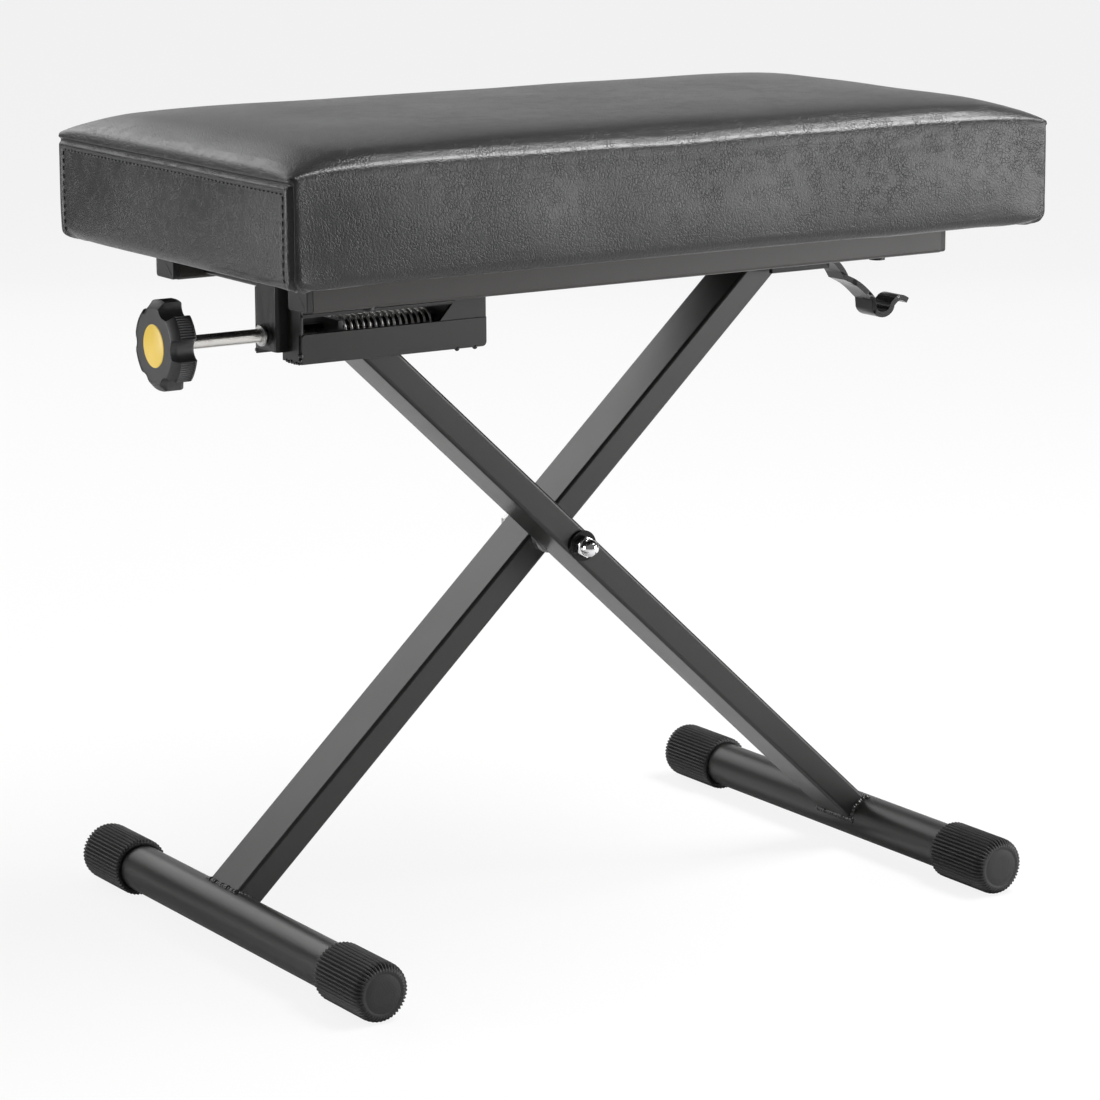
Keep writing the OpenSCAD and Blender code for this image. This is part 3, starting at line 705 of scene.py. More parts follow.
def buildStitches():
    s, c = stitchSettings, cushionSettings
    bm = bmesh.new()
    random.seed(5)
    for side in (-1, 1):
        x = seatCentre.x + side * (seatHalfL + 0.03)
        inward = Vector((-side, 0, 0))
        y = seatHalfW - c["deflate"] - c["stitchSide"]
        ends = [Vector((x, *end)) for end in ((-y, seatBase + 0.004), (-y, seatTop - c["stitchTop"]),
                                              (y, seatTop - c["stitchTop"]), (y, seatBase + 0.004))]
        for a, b in zip(ends, ends[1:]):
            points, along = rowPoints(a, b, s["pitch"])
            for point in points:
                hit, normal, _, _ = cushionSurface.ray_cast(point, inward)
                if hit is None:
                    continue
                across = normal.cross(along).normalized()
                lengthwise = across.cross(normal).normalized()
                turn = Matrix((lengthwise, across, normal)).transposed().to_4x4()
                lean = Matrix.Rotation(random.uniform(-0.08, 0.08), 4, normal)
                stitchBlank(bm, Matrix.Translation(hit - normal * s["sink"]) @ lean @ turn)
    finishPiece("coverStitches", bm, "seat", "thread")


buildStitches()
print("stitches set")


# Underside: the pressed dust cloth over the board, and the staples that hold the cover

undersideSettings = {"hem": 0.016, "staplePitch": 0.034, "stapleWidth": 0.0105, "wire": 0.0006, "sag": 0.0005}


def buildDustCloth():
    s = undersideSettings
    low, high, centre = boxOf("seat_board")
    margin = cushionSettings["fold"] - s["hem"]
    bm = bmesh.new()
    bmesh.ops.create_grid(bm, x_segments=90, y_segments=48, size=0.5)
    size = high - low - Vector((2 * margin, 2 * margin, 0))
    bmesh.ops.scale(bm, vec=(size.x, size.y, 1), verts=bm.verts)
    bmesh.ops.translate(bm, vec=(centre.x, centre.y, seatBase - 0.0004), verts=bm.verts)
    for vert in bm.verts:
        edge = min(high.x - margin - abs(vert.co.x - centre.x),
                   (high.y - low.y) / 2 - margin - abs(vert.co.y))
        ripple = noise.noise(Vector((vert.co.x * 26, vert.co.y * 26, 1.3)))
        vert.co.z += 0.0003 * ripple - (s["sag"] * 0.3 if edge > 0.02 else 0)
    bmesh.ops.recalc_face_normals(bm, faces=bm.faces)
    for face in bm.faces:
        if face.normal.z > 0:
            face.normal_flip()
    cloth = finishPiece("dustCloth", bm, "seat", "dustCloth", replaced=("seat_board",))
    thick = cloth.modifiers.new("Thickness", "SOLIDIFY")
    thick.thickness = 0.0004
    thick.offset = -1


def buildStaples():
    s = undersideSettings
    low, high, centre = boxOf("seat_board")
    bm = bmesh.new()
    random.seed(8)

    def addStaple(x, y, turn):
        made = addBox(bm, (-s["stapleWidth"] / 2, -s["wire"] / 2, 0),
                      (s["stapleWidth"] / 2, s["wire"] / 2, s["wire"]))
        place = Matrix.Translation((x, y, seatBase - 0.0012)) @ Matrix.Rotation(turn, 4, "Z")
        bmesh.ops.transform(bm, matrix=place, verts=made)

    halfX, halfY = (high.x - low.x) / 2 - 0.0125, (high.y - low.y) / 2 - 0.0125
    countX = int(2 * halfX / s["staplePitch"])
    countY = int(2 * halfY / s["staplePitch"])
    for i in range(countX + 1):
        for side in (-1, 1):
            addStaple(centre.x - halfX + 2 * halfX * i / countX, centre.y + side * halfY,
                      random.uniform(-0.25, 0.25))
    for i in range(1, countY):
        for side in (-1, 1):
            addStaple(centre.x + side * halfX, centre.y - halfY + 2 * halfY * i / countY,
                      math.pi / 2 + random.uniform(-0.25, 0.25))
    finishPiece("coverStaples", bm, "seat", "zinc", sharpAngle=40)


buildDustCloth()
buildStaples()
print("underside built")


# Seat frame: rails, plugs and beams

railSettings = {"corner": 0.0022, "plugEase": 0.0012, "beamEase": 0.0014, "plugInset": 0.0003,
                "dishRim": 0.0028, "dish": 0.0007}


def buildRail(node):
    low, high, _ = boxOf(node)
    finishPiece(node + "Tube", tubeBlank(low, high, 0, railSettings["corner"]), "seat",
                "railCoat", sharpAngle=35, replaced=(node,), flat=True)


def buildPlug(node):
    # The plug's flange is a hair smaller than the tube, with eased rims and a shallow dished face.
    low, high, centre = boxOf(node)
    railLow, railHigh, railMid = boxOf("rail_front" if "front" in node else "rail_rear")
    outer = math.copysign(1, centre.x - railMid.x)
    x0 = railHigh.x if outer > 0 else low.x
    x1 = high.x if outer > 0 else railLow.x
    bm = bmesh.new()
    inset = Vector((0, railSettings["plugInset"], railSettings["plugInset"]))
    made = addBox(bm, Vector((x0, low.y, low.z)) + inset, Vector((x1, high.y, high.z)) - inset)
    bevelEdges(bm, edgesAlong(bm, made, 0), railSettings["corner"], 4)
    face = max(bm.faces, key=lambda f: f.calc_center_median().x * outer)
    bmesh.ops.inset_region(bm, faces=[face], thickness=railSettings["dishRim"], depth=0.0)
    bmesh.ops.translate(bm, vec=(-outer * railSettings["dish"], 0, 0), verts=face.verts)
    rimX = x1 if outer > 0 else x0
    ends = [e for e in bm.edges if all(abs(v.co.x - rimX) < 1e-6 for v in e.verts)
            and len(e.link_faces) == 2 and e.calc_face_angle(0) > 1.0]
    bevelEdges(bm, ends, railSettings["plugEase"], 3)
    finishPiece(node + "Head", bm, "seat", "plugPlastic", sharpAngle=40,
                replaced=(node,), flat=True)


for name in ("rail_front", "rail_rear"):
    buildRail(name)
for row in ("front", "rear"):
    for side in ("left", "right"):
        buildPlug(f"rail_plug_{row}_{side}")
for name in ("beam_left", "beam_middle", "beam_right", "beam_axle"):
    low, high, _ = boxOf(name)
    finishPiece(name + "Tube", tubeBlank(low, high, 1, railSettings["beamEase"]), "seat",
                "powderCoat", sharpAngle=35, replaced=(name,), flat=True)
print("seat frame built")


# Sheet-metal pieces of the adjuster and the latch, with their cut edges eased

easedPieces = {
    "bearing_bracket": ("seat", "black_steel", "powderCoat", 0.0005, 2),
    "spring_stop": ("seat", "black_steel", "powderCoat", 0.0005, 2),
    "axle_plates": ("seat", "black_steel", "powderCoat", 0.0005, 2),
    "lever_hanger": ("seat", "black_steel", "powderCoat", 0.0005, 2),
    "nut_carriage": ("nut", "black_steel", "powderCoat", 0.0004, 2),
    "leg_ears": ("leg_front", "black_steel", "powderCoat", 0.0004, 2),
    "release_lever": ("release", "gloss_black", "glossBlack", 0.0011, 3),
}
for name, (body, slotName, finish, width, segments) in easedPieces.items():
    finishPiece(name + "Eased", easedCopy(name, width, segments), body, finish,
                sharpAngle=40, replaced=(name,), flat=True)
print("adjuster plates eased")


# Adjuster housing: two side plates with a raised band, end flanges and a roof, all welded up

housingSettings = {"sheet": 0.0025, "bandTop": 0.0195, "bandProud": 0.0009, "corner": 0.0032, "ease": 0.0005,
                   "slotHalf": 0.006, "beadPitch": 0.0031, "beadRadius": 0.0016, "roofAbove": 0.0135,
                   "webBack": 0.025}


def addPlate(bm, outline, y0, y1, rounds, ease):
    # A flat plate from an outline of (x, z) points, with some corners rounded and its cut edges eased.
    start = set(bm.verts)
    verts = [bm.verts.new((x, y0, z)) for x, z in outline]
    bm.faces.new(verts)
    for index, radius in rounds:
        bmesh.ops.bevel(bm, geom=[verts[index]], offset=radius, offset_type="OFFSET", segments=6,
                        profile=0.5, affect="VERTICES", material=-1)
    face = next(f for f in bm.faces if all(v not in start for v in f.verts))
    pushed = bmesh.ops.extrude_face_region(bm, geom=[face], use_keep_orig=True)["geom"]
    bmesh.ops.translate(bm, vec=(0, y1 - y0, 0),
                        verts=[g for g in pushed if isinstance(g, bmesh.types.BMVert)])
    rims = [e for e in bm.edges
            if e.verts[0] not in start and abs(e.verts[0].co.y - e.verts[1].co.y) < 1e-7]
    bevelEdges(bm, rims, ease, 2)


def buildHousing():
    s = housingSettings
    low, high, _ = boxOf("adjuster_housing")
    t = s["sheet"]
    x0, x1, y0, y1, z0, top = low.x, high.x, low.y, high.y, low.z, high.z
    band = z0 + s["bandTop"]
    screw = boxOf("lead_screw")[2]
    bm = bmesh.new()
    outline = [(x0, z0), (x1, z0), (x1, top), (x1 - 0.014, top), (x1 - 0.036, band), (x0, band)]
    addPlate(bm, outline, y0, y0 + t, ((1, s["corner"]),), s["ease"])
    addPlate(bm, outline, y1 - t, y1, ((1, s["corner"]),), s["ease"])
    face = [(x0 + 0.0004, z0), (x1 - 0.0002, z0), (x1 - 0.0002, band), (x0 + 0.0004, band)]
    addPlate(bm, face, y0 - s["bandProud"], y0 + 0.0002, ((1, s["corner"]), (3, s["corner"])),
             s["ease"] * 0.8)
    roof = screw.z + s["roofAbove"]
    web = x1 - s["webBack"]
    for box in (((x0, y0 + 0.0001, z0 + 0.0001), (x0 + t, screw.y - s["slotHalf"], top)),
                ((x0, screw.y + s["slotHalf"], screw.z - 0.010), (x0 + t, y1 - 0.0001, top)),
                ((x0 + 0.0001, y0 + 0.0001, roof), (x1 - 0.0001, y1 - 0.0001, roof + t)),
                ((web, y0 + t, roof), (web + t, y1 - t, top))):
        made = addBox(bm, *box)
        bevelEdges(bm, [e for e in bm.edges if e.verts[0] in made and e.verts[1] in made], s["ease"], 2)
    bmesh.ops.recalc_face_normals(bm, faces=bm.faces)
    finishPiece("housingPlates", bm, "seat", "powderCoat", sharpAngle=40,
                replaced=("adjuster_housing",), flat=True)
    beads = bmesh.new()
    random.seed(31)
    runs = [((x0 + 0.0006, y0 + 0.001, z0 + 0.0004),
             (x0 + 0.0006, screw.y - s["slotHalf"] - 0.004, z0 + 0.0004)),
            ((x0 - 0.0002, y0 - 0.0002, z0 + 0.001), (x0 - 0.0002, y0 - 0.0002, z0 + 0.008)),
            ((x1 - 0.026, y0 + 0.0005, z0), (x1 - 0.020, y0 + 0.0005, z0)),
            ((x1 - 0.010, y0 + 0.0005, z0), (x1 - 0.008, y0 + 0.0005, z0)),
            ((x0 + 0.001, y1 - 0.001, z0 + 0.0004), (x0 + 0.001, y1 - 0.001, z0 + 0.012))]
    for a, b in runs:
        for point in rowPoints(Vector(a), Vector(b), s["beadPitch"])[0]:
            radius = s["beadRadius"] * random.uniform(0.7, 1.2)
            made = bmesh.ops.create_icosphere(beads, subdivisions=2, radius=radius)
            shift = Vector([random.uniform(-0.0003, 0.0003) for _ in range(3)])
            bmesh.ops.translate(beads, vec=point + shift, verts=made["verts"])
    finishPiece("housingBeads", beads, "seat", "weld")


buildHousing()
print("housing built")


# Legs: rolled rectangular tube, tack-welded to round foot tubes

legSettings = {"depth": 0.020, "breadth": 0.040, "corner": 0.0026, "wall": 0.002, "inFoot": 0.004,
               "frontRun": 0.26, "openDepth": 0.03}


def jointPlace(name):
    return Vector(next(j for j in frame["joints"] if j["name"] == name)["pos_m"])


pivot = jointPlace("scissor")


def buildLeg(name, node, foot, upperRun, body, levelCut=None):
    # The tube is made lying along X with the pivot at the origin, then turned up to its slope.
    s = legSettings
    low, high, _ = boxOf(node)
    footMid = boxOf(foot)[2]
    footAxis = Vector((footMid.x, 0, footMid.z))
    down = (pivot - footAxis).length - s["inFoot"]
    bm = bmesh.new()
    verts = addBox(bm, (-down, low.y, -s["depth"] / 2), (upperRun, high.y, s["depth"] / 2))
    if levelCut is None:
        top = edgesAlong(bm, verts, 1, lambda m: m.x > 0)
        bevelEdges(bm, top, s["depth"] / 2 - 0.0004, 10)
        sides = [e for e in bm.edges
                 if abs((e.verts[1].co - e.verts[0].co).y) < 1e-7 and e.calc_face_angle(0) > 1.0
                 and (e.verts[0].co + e.verts[1].co).x / 2 > -down + 1e-5]
        bevelEdges(bm, sides, s["corner"], 4)
    else:
        bevelEdges(bm, edgesAlong(bm, verts, 0), s["corner"], 5)
    direction = (pivot - footAxis).normalized()
    slope = math.atan2(direction.z, direction.x)
    bmesh.ops.rotate(bm, cent=(0, 0, 0), matrix=Matrix.Rotation(-slope, 3, "Y"), verts=bm.verts)
    bmesh.ops.translate(bm, vec=(pivot.x, 0, pivot.z), verts=bm.verts)
    if levelCut is not None:
        # sawn off level at the top, open, with the wall showing
        bmesh.ops.bisect_plane(bm, geom=bm.verts[:] + bm.edges[:] + bm.faces[:], dist=1e-7,
                               plane_co=(0, 0, levelCut), plane_no=(0, 0, 1), clear_outer=True)
        rim = [e for e in bm.edges if len(e.link_faces) == 1]
        mouth = bmesh.ops.edgeloop_fill(bm, edges=rim)["faces"]
        bmesh.ops.inset_region(bm, faces=mouth, thickness=s["wall"], depth=0.0)
        bmesh.ops.translate(bm, vec=-direction * s["openDepth"], verts=mouth[0].verts)
    bmesh.ops.recalc_face_normals(bm, faces=bm.faces)
    finishPiece(name, bm, body, "legCoat", sharpAngle=35, replaced=(node,), flat=True)


axle = jointPlace("height")
rearUp = (Vector((axle.x, 0, axle.z)) - pivot).length + legSettings["depth"] / 2
buildLeg("rearLegTube", "rear_leg", "left_foot_tube", rearUp, "leg_rear")
buildLeg("frontLegTube", "front_leg", "right_foot_tube", legSettings["frontRun"], "leg_front",
         boxOf("front_leg")[1].z)
print("legs built")


def buildFootTube(node, body):
    low, high, centre = boxOf(node)
    radius, length = (high.x - low.x) / 2, high.y - low.y
    bm = bmesh.new()
    turnedShape(bm, [(radius - 0.002, 0.001), (radius - 0.0006, 0), (radius, 0.0008),
                     (radius, length - 0.0008), (radius - 0.0006, length), (radius - 0.002, length - 0.001)],
                (centre.x, low.y, centre.z), (0, 1, 0), 96)
    finishPiece(node + "Round", bm, body, "powderCoat", sharpAngle=35, replaced=(node,))


buildFootTube("left_foot_tube", "leg_rear")
buildFootTube("right_foot_tube", "leg_front")


# Weld beads round each leg where it meets its foot tube

weldSettings = {"pitch": 0.0026, "radius": 0.0024, "flat": 0.66, "jitter": 0.0004}


def buildWeld(name, footNode, legNode, body, seed):
    s, t = weldSettings, legSettings
    low, high, foot = boxOf(footNode)
    tubeR = (high.x - low.x) / 2
    legLow, legHigh, _ = boxOf(legNode)
    direction = (pivot - Vector((foot.x, 0, foot.z))).normalized()
    across = Vector((-direction.z, 0, direction.x))
    reach = math.sqrt(tubeR ** 2 - (t["depth"] / 2) ** 2)
    half = math.asin(t["depth"] / 2 / tubeR)
    path = []
    lines = int(t["breadth"] / s["pitch"])
    for sign in (-1, 1):
        start = Vector((foot.x, 0, foot.z)) + direction * reach + across * sign * t["depth"] / 2
        path += [(start + Vector((0, legLow.y + t["breadth"] * i / lines, 0)),
                  (direction + across * sign).normalized()) for i in range(lines + 1)]
    arcs = int(2 * half * tubeR / s["pitch"])
    for y, sign in ((legLow.y, -1), (legHigh.y, 1)):
        for i in range(arcs + 1):
            a = -half + 2 * half * i / arcs
            spoke = direction * math.cos(a) + across * math.sin(a)
            path.append((Vector((foot.x, y, foot.z)) + spoke * tubeR,
                         (spoke + Vector((0, sign, 0))).normalized()))
    bm = bmesh.new()
    random.seed(seed)
    for place, out in path:
        radius = s["radius"] * random.uniform(0.88, 1.12)
        made = bmesh.ops.create_icosphere(bm, subdivisions=2, radius=radius)["verts"]
        turn = out.to_track_quat("Z", "Y").to_matrix().to_4x4()
        bmesh.ops.scale(bm, vec=(1, 1, s["flat"]), verts=made)
        wobble = Vector([random.uniform(-1, 1) * s["jitter"] for _ in range(3)])
        bmesh.ops.transform(bm, matrix=Matrix.Translation(place + wobble) @ turn, verts=made)
    finishPiece(name, bm, body, "weld")


buildWeld("rearLegWeld", "left_foot_tube", "rear_leg", "leg_rear", 21)
buildWeld("frontLegWeld", "right_foot_tube", "front_leg", "leg_front", 22)
print("feet tubes and welds built")


# Rubber feet: ribs that run over the rounded end, and a smooth end disc

capSettings = {"ribs": 46, "perRib": 8, "depth": 0.0016, "bore": 0.0161, "disc": 0.0150, "round": 0.0070,
               "grooveWidth": 1.2}


def buildCap(node, body):
    s = capSettings
    low, high, centre = boxOf(node)
    outward = math.copysign(1, centre.y)
    radius = (high.z - low.z) / 2
    length = high.y - low.y
    count = s["ribs"] * s["perRib"]
    axisX, axisZ = centre.x, low.z + radius
    openY = low.y if outward > 0 else high.y
    rings = [(s["bore"], 0.004, 0.0), (s["bore"], 0.0003, 0.0), (s["bore"] + 0.0006, 0.0, 0.0),
             (radius - s["depth"] - 0.0004, 0.0, 0.0), (radius - 0.0006, 0.0004, 0.6), (radius, 0.0014, 1.0)]
    straight = length - s["round"]
    rings += [(radius, straight * k / 3 + 0.0014 * (3 - k) / 3, 1.0) for k in (1, 2, 3)]
    for k in range(1, 8):
        a = math.radians(90) * k / 8
        r = s["disc"] + (radius - s["disc"]) * math.cos(a)
        rings.append((r, straight + s["round"] * math.sin(a) * 0.96, 1.0 - 0.75 * (k / 8) ** 3))
    rings += [(s["disc"] - 0.0002, length - 0.0003, 0.12), (s["disc"] - 0.0012, length - 0.0004, 0.0),
              (s["disc"] - 0.0018, length - 0.0006, 0.0), (s["disc"] - 0.0024, length - 0.0006, 0.0),
              (s["disc"] - 0.0030, length - 0.0004, 0.0), (s["disc"] * 0.5, length - 0.0002, 0.0),
              (0.0013, length - 0.0002, 0.0)]
    bm = bmesh.new()
    ring = bmesh.ops.create_circle(bm, cap_ends=False, segments=count, radius=1.0)["verts"]
    spokes = [math.atan2(v.co.y, v.co.x) for v in ring]

    def placeRing(verts, r, along, ribbed):
        for vert, angle in zip(verts, spokes):
            wave = 0.5 - 0.5 * math.cos(s["ribs"] * (angle + math.pi / 2))
            reach = r - s["depth"] * ribbed * wave ** s["grooveWidth"]
            vert.co = Vector((axisX + reach * math.cos(angle), openY + outward * along,
                              axisZ + reach * math.sin(angle)))

    placeRing(ring, *rings[0])
    for spec in rings[1:]:
        ring = nextRing(bm, ring)
        placeRing(ring, *spec)
    bmesh.ops.edgeloop_fill(bm, edges=loopEdges(bm, ring))
    bmesh.ops.recalc_face_normals(bm, faces=bm.faces)
    finishPiece(node + "Ribbed", bm, body, "rubber", sharpAngle=50, replaced=(node,))


for side, body in (("left", "leg_rear"), ("right", "leg_front")):
    for end in ("front", "rear"):
        buildCap(f"{side}_foot_cap_{end}", body)
print("rubber feet built")


# Hand knob: six finger notches, fine ribs on the lobes, and a plain yellow disc

knobSettings = {"segments": 720, "notches": 6, "notchR": 0.0072, "notchAt": 0.0300, "ribDepth": 0.0007,
                "ribs": 102, "faceR": 0.0243, "thick": 0.017}


def buildKnob():
    s = knobSettings
    low, high, centre = boxOf("knob")
    radius = (high.z - low.z) / 2
    thick = s["thick"]
    x0 = low.x
    middle = Vector((0, centre.y, centre.z))
    rings = [(0.0150, 0.0004, 0.0, 0), (s["faceR"] - 0.0005, 0.0004, 0.0, 0), (s["faceR"], 0.0000, 0.0, 0),
             (s["faceR"] + 0.0008, 0.0002, 0.0005, 0), (radius - 0.0014, 0.0030, 0.0004, 0),
             (radius - 0.0004, 0.0040, 0.0002, 0), (radius, 0.0052, 0.0, 0), (radius, 0.0056, 0.0, 1),
             (radius, thick - 0.0024, 0.0, 1), (radius, thick - 0.0020, 0.0, 0),
             (radius - 0.0004, thick - 0.0007, 0.0, 0), (radius - 0.0014, thick, 0.0003, 0),
             (0.0150, thick, 0.0, 0), (0.0105, thick, 0.0, 0), (0.0090, thick + 0.0004, 0.0, 0),
             (0.0088, thick + 0.0028, 0.0, 0), (0.0080, thick + 0.0034, 0.0, 0),
             (0.0052, thick + 0.0034, 0.0, 0)]
    bm = bmesh.new()
    ring = bmesh.ops.create_circle(bm, cap_ends=False, segments=s["segments"], radius=1.0)["verts"]
    spokes = [math.atan2(v.co.y, v.co.x) for v in ring]

    def outline(angle, r, flare, ribbed):
        # angle is counted from -Y, where one notch stands
        step = 2 * math.pi / s["notches"]
        off = (angle + step / 2) % step - step / 2
        notch = s["notchR"] + flare
        sine = s["notchAt"] * math.sin(off)
        if abs(sine) < notch:
            bite = s["notchAt"] * math.cos(off) - math.sqrt(notch ** 2 - sine ** 2)
            if bite < r:
                return bite
        edge = max(0.0, abs(sine) - notch)
        ribShare = min(1.0, edge / 0.0008) * ribbed
        return r - s["ribDepth"] * ribShare * (0.5 - 0.5 * math.cos(s["ribs"] * angle))

    def placeRing(verts, r, along, flare, ribbed):
        for vert, angle in zip(verts, spokes):
            reach = outline(angle, r, flare, ribbed)
            vert.co = middle + Vector((x0 + along, -reach * math.cos(angle), reach * math.sin(angle)))

    placeRing(ring, *rings[0])
    for spec in rings[1:]:
        ring = nextRing(bm, ring)
        placeRing(ring, *spec)
    bmesh.ops.edgeloop_fill(bm, edges=loopEdges(bm, ring))
    bmesh.ops.edgeloop_fill(bm, edges=[e for e in bm.edges if len(e.link_faces) == 1])
    bmesh.ops.recalc_face_normals(bm, faces=bm.faces)
    finishPiece("knobBody", bm, "screw", "knobPlastic", sharpAngle=38, replaced=("knob",))

    badge = bmesh.new()
    turnedShape(badge, [(0.0, -0.0001), (0.0134, -0.0001), (0.0139, 0.0002), (0.0140, 0.0006)],
                (x0, centre.y, centre.z), (1, 0, 0), 72)
    finishPiece("knobDisc", badge, "screw", "badgeYellow", sharpAngle=50,
                replaced=("knob_badge",))


buildKnob()
print("knob built")


# Lead screw, its thread inside the housing, its collars, and the return spring

screwSettings = {"radius": 0.0045, "pitch": 0.00125, "threadDepth": 0.0007,
                 "wire": 0.0019, "turns": 15.5, "coilSides": 10, "coilSteps": 36}


def buildScrew():
    s = screwSettings
    low, high, centre = boxOf("lead_screw")
    bracketLow, bracketHigh, _ = boxOf("bearing_bracket")
    stopHigh = boxOf("spring_stop")[1]
    middle = (0, centre.y, centre.z)
    r = s["radius"]
    rod = bmesh.new()
    plainEnd = bracketHigh.x + 0.001
    turnedShape(rod, [(0, 0), (r, 0), (r, plainEnd - low.x), (0, plainEnd - low.x)],
                (low.x, centre.y, centre.z), (1, 0, 0), 64)
    turnedCore = bmesh.new()
    core = r - s["threadDepth"]
    coreL = high.x - plainEnd
    turnedShape(turnedCore, [(0, 0), (core, 0), (core, coreL - 0.001), (core - 0.0005, coreL), (0, coreL)],
                (plainEnd, centre.y, centre.z), (1, 0, 0), 48)
    finishPiece("leadScrewCore", turnedCore, "screw", "oiledSteel", sharpAngle=35)
    finishPiece("leadScrewRod", rod, "screw", "satinSteel", sharpAngle=35,
                replaced=("lead_screw",))
    # the thread: a small ridge wound round the core
    thread = bmesh.new()
    start = Vector((plainEnd, centre.y, centre.z))
    deep = r - s["threadDepth"] - 0.0001
    half = s["pitch"] / 2
    corners = [Vector((-half * 0.92, 0, deep)), Vector((-half * 0.2, 0, r)), Vector((half * 0.2, 0, r)),
               Vector((half * 0.92, 0, deep))]
    verts = [thread.verts.new(start + c) for c in corners]
    edges = [thread.edges.new((verts[i], verts[(i + 1) % 4])) for i in range(4)]
    turns = int((high.x - 0.002 - plainEnd) / s["pitch"])
    steps = 24 * turns
    bmesh.ops.spin(thread, geom=verts + edges, cent=middle, axis=(1, 0, 0), angle=2 * math.pi * turns,
                   steps=steps, dvec=(s["pitch"] / 24, 0, 0), use_merge=False, use_duplicate=False)
    bmesh.ops.holes_fill(thread, edges=thread.edges, sides=4)
    bmesh.ops.recalc_face_normals(thread, faces=thread.faces)
    finishPiece("leadScrewThread", thread, "screw", "oiledSteel", sharpAngle=30)
    collars = bmesh.new()
    for x, width in ((bracketLow.x - 0.0036, 0.0021), (stopHigh.x + 0.0003, 0.0037)):
        turnedShape(collars, [(r - 0.0002, 0), (r + 0.0021, 0), (r + 0.0025, 0.0004),
                              (r + 0.0025, width - 0.0004), (r + 0.0021, width), (r - 0.0002, width)],
                    (x, centre.y, centre.z), (1, 0, 0), 48)
    finishPiece("leadScrewCollars", collars, "screw", "zinc", sharpAngle=35)


def buildSpring():
    s = screwSettings
    low, high, centre = boxOf("spring")
    coilR = (high.z - low.z) / 2 - s["wire"] / 2
    length = high.x - low.x - s["wire"]
    bm = bmesh.new()
    ring = bmesh.ops.create_circle(bm, cap_ends=True, segments=s["coilSides"], radius=s["wire"] / 2)["verts"]
    pitch = length / s["turns"]
    lean = math.atan2(pitch, 2 * math.pi * coilR)
    # the wire's round face lies across the winding at the top of the coil
    bmesh.ops.rotate(bm, cent=(0, 0, 0), matrix=Matrix.Rotation(math.pi / 2, 3, "X"), verts=ring)
    bmesh.ops.rotate(bm, cent=(0, 0, 0), matrix=Matrix.Rotation(-lean, 3, "Z"), verts=ring)
    bmesh.ops.translate(bm, vec=(low.x + s["wire"] / 2, centre.y, centre.z + coilR), verts=ring)
    steps = int(s["coilSteps"] * s["turns"])
    bmesh.ops.spin(bm, geom=bm.faces[:], cent=(0, centre.y, centre.z), axis=(1, 0, 0),
                   angle=2 * math.pi * s["turns"], steps=steps, dvec=(length / steps, 0, 0),
                   use_merge=False, use_duplicate=False)
    bmesh.ops.recalc_face_normals(bm, faces=bm.faces)
    coil = meshObject("returnSpring", bm, sharpAngle=60)
    coil.data.materials.append(finishes["springSteel"])
    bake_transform(coil)
    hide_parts("spring")


buildScrew()
buildSpring()
print("screw and spring built")


# Pivot: bolt, black washer and chrome dome nut

pivotSettings = {"washerR": 0.0108, "washerT": 0.002, "acrossCorners": 0.0075, "skirt": 0.0055,
                 "domeR": 0.0061, "domeRise": 0.0030, "headR": 0.0088, "headT": 0.0055, "shankR": 0.0049}


def addHex(bm, radius, depth, place, ease):
    # A hexagon along Y with its edges eased; it goes first into an empty bmesh.
    made = bmesh.ops.create_cone(bm, cap_ends=True, segments=6, radius1=radius, radius2=radius,
                                 depth=depth)["verts"]
    bmesh.ops.rotate(bm, cent=(0, 0, 0), matrix=Matrix.Rotation(math.pi / 2, 3, "X"), verts=made)
    bmesh.ops.translate(bm, vec=place, verts=made)
    bevelEdges(bm, bm.edges[:], ease, 2)


def buildPivot():
    s = pivotSettings
    _, washHigh, wash = boxOf("pivot_washer")
    bm = bmesh.new()
    turnedShape(bm, [(0.0050, 0), (s["washerR"] - 0.0006, 0), (s["washerR"], 0.0005),
                     (s["washerR"], s["washerT"] - 0.0004), (s["washerR"] - 0.0005, s["washerT"]),
                     (0.0050, s["washerT"])],
                (wash.x, washHigh.y, wash.z), (0, -1, 0), 72)
    finishPiece("pivotWasherDisc", bm, "leg_rear", "glossBlack", sharpAngle=35,
                replaced=("pivot_washer",))
    _, nutHigh, nut = boxOf("pivot_nut")
    dome = bmesh.new()
    addHex(dome, s["acrossCorners"], s["skirt"], (nut.x, nutHigh.y - s["skirt"] / 2, nut.z), 0.0004)
    arc = [(s["domeR"], 0.0)]
    for k in range(10):
        angle = math.radians(9 * k)
        arc.append((s["domeR"] * math.cos(angle), s["domeRise"] + s["domeR"] * math.sin(angle)))
    arc.append((0.0, s["domeRise"] + s["domeR"]))
    turnedShape(dome, arc, (nut.x, nutHigh.y - s["skirt"] + 0.0002, nut.z), (0, -1, 0), 48)
    finishPiece("pivotDomeNut", dome, "leg_rear", "chrome", sharpAngle=32,
                replaced=("pivot_nut",))
    boltLow, boltHigh, bolt = boxOf("pivot_bolt")
    head = bmesh.new()
    addHex(head, s["headR"], s["headT"], (bolt.x, boltHigh.y - s["headT"] / 2, bolt.z), 0.0006)
    shank = boltHigh.y - boltLow.y - 0.004
    turnedShape(head, [(0, 0), (s["shankR"], 0), (s["shankR"], shank), (0, shank)],
                (bolt.x, boltLow.y, bolt.z), (0, 1, 0), 40)
    finishPiece("pivotBoltHex", head, "leg_rear", "zinc", sharpAngle=32,
                replaced=("pivot_bolt",))


buildPivot()
print("pivot built")


# CAD nodes that keep their shape take a better finish

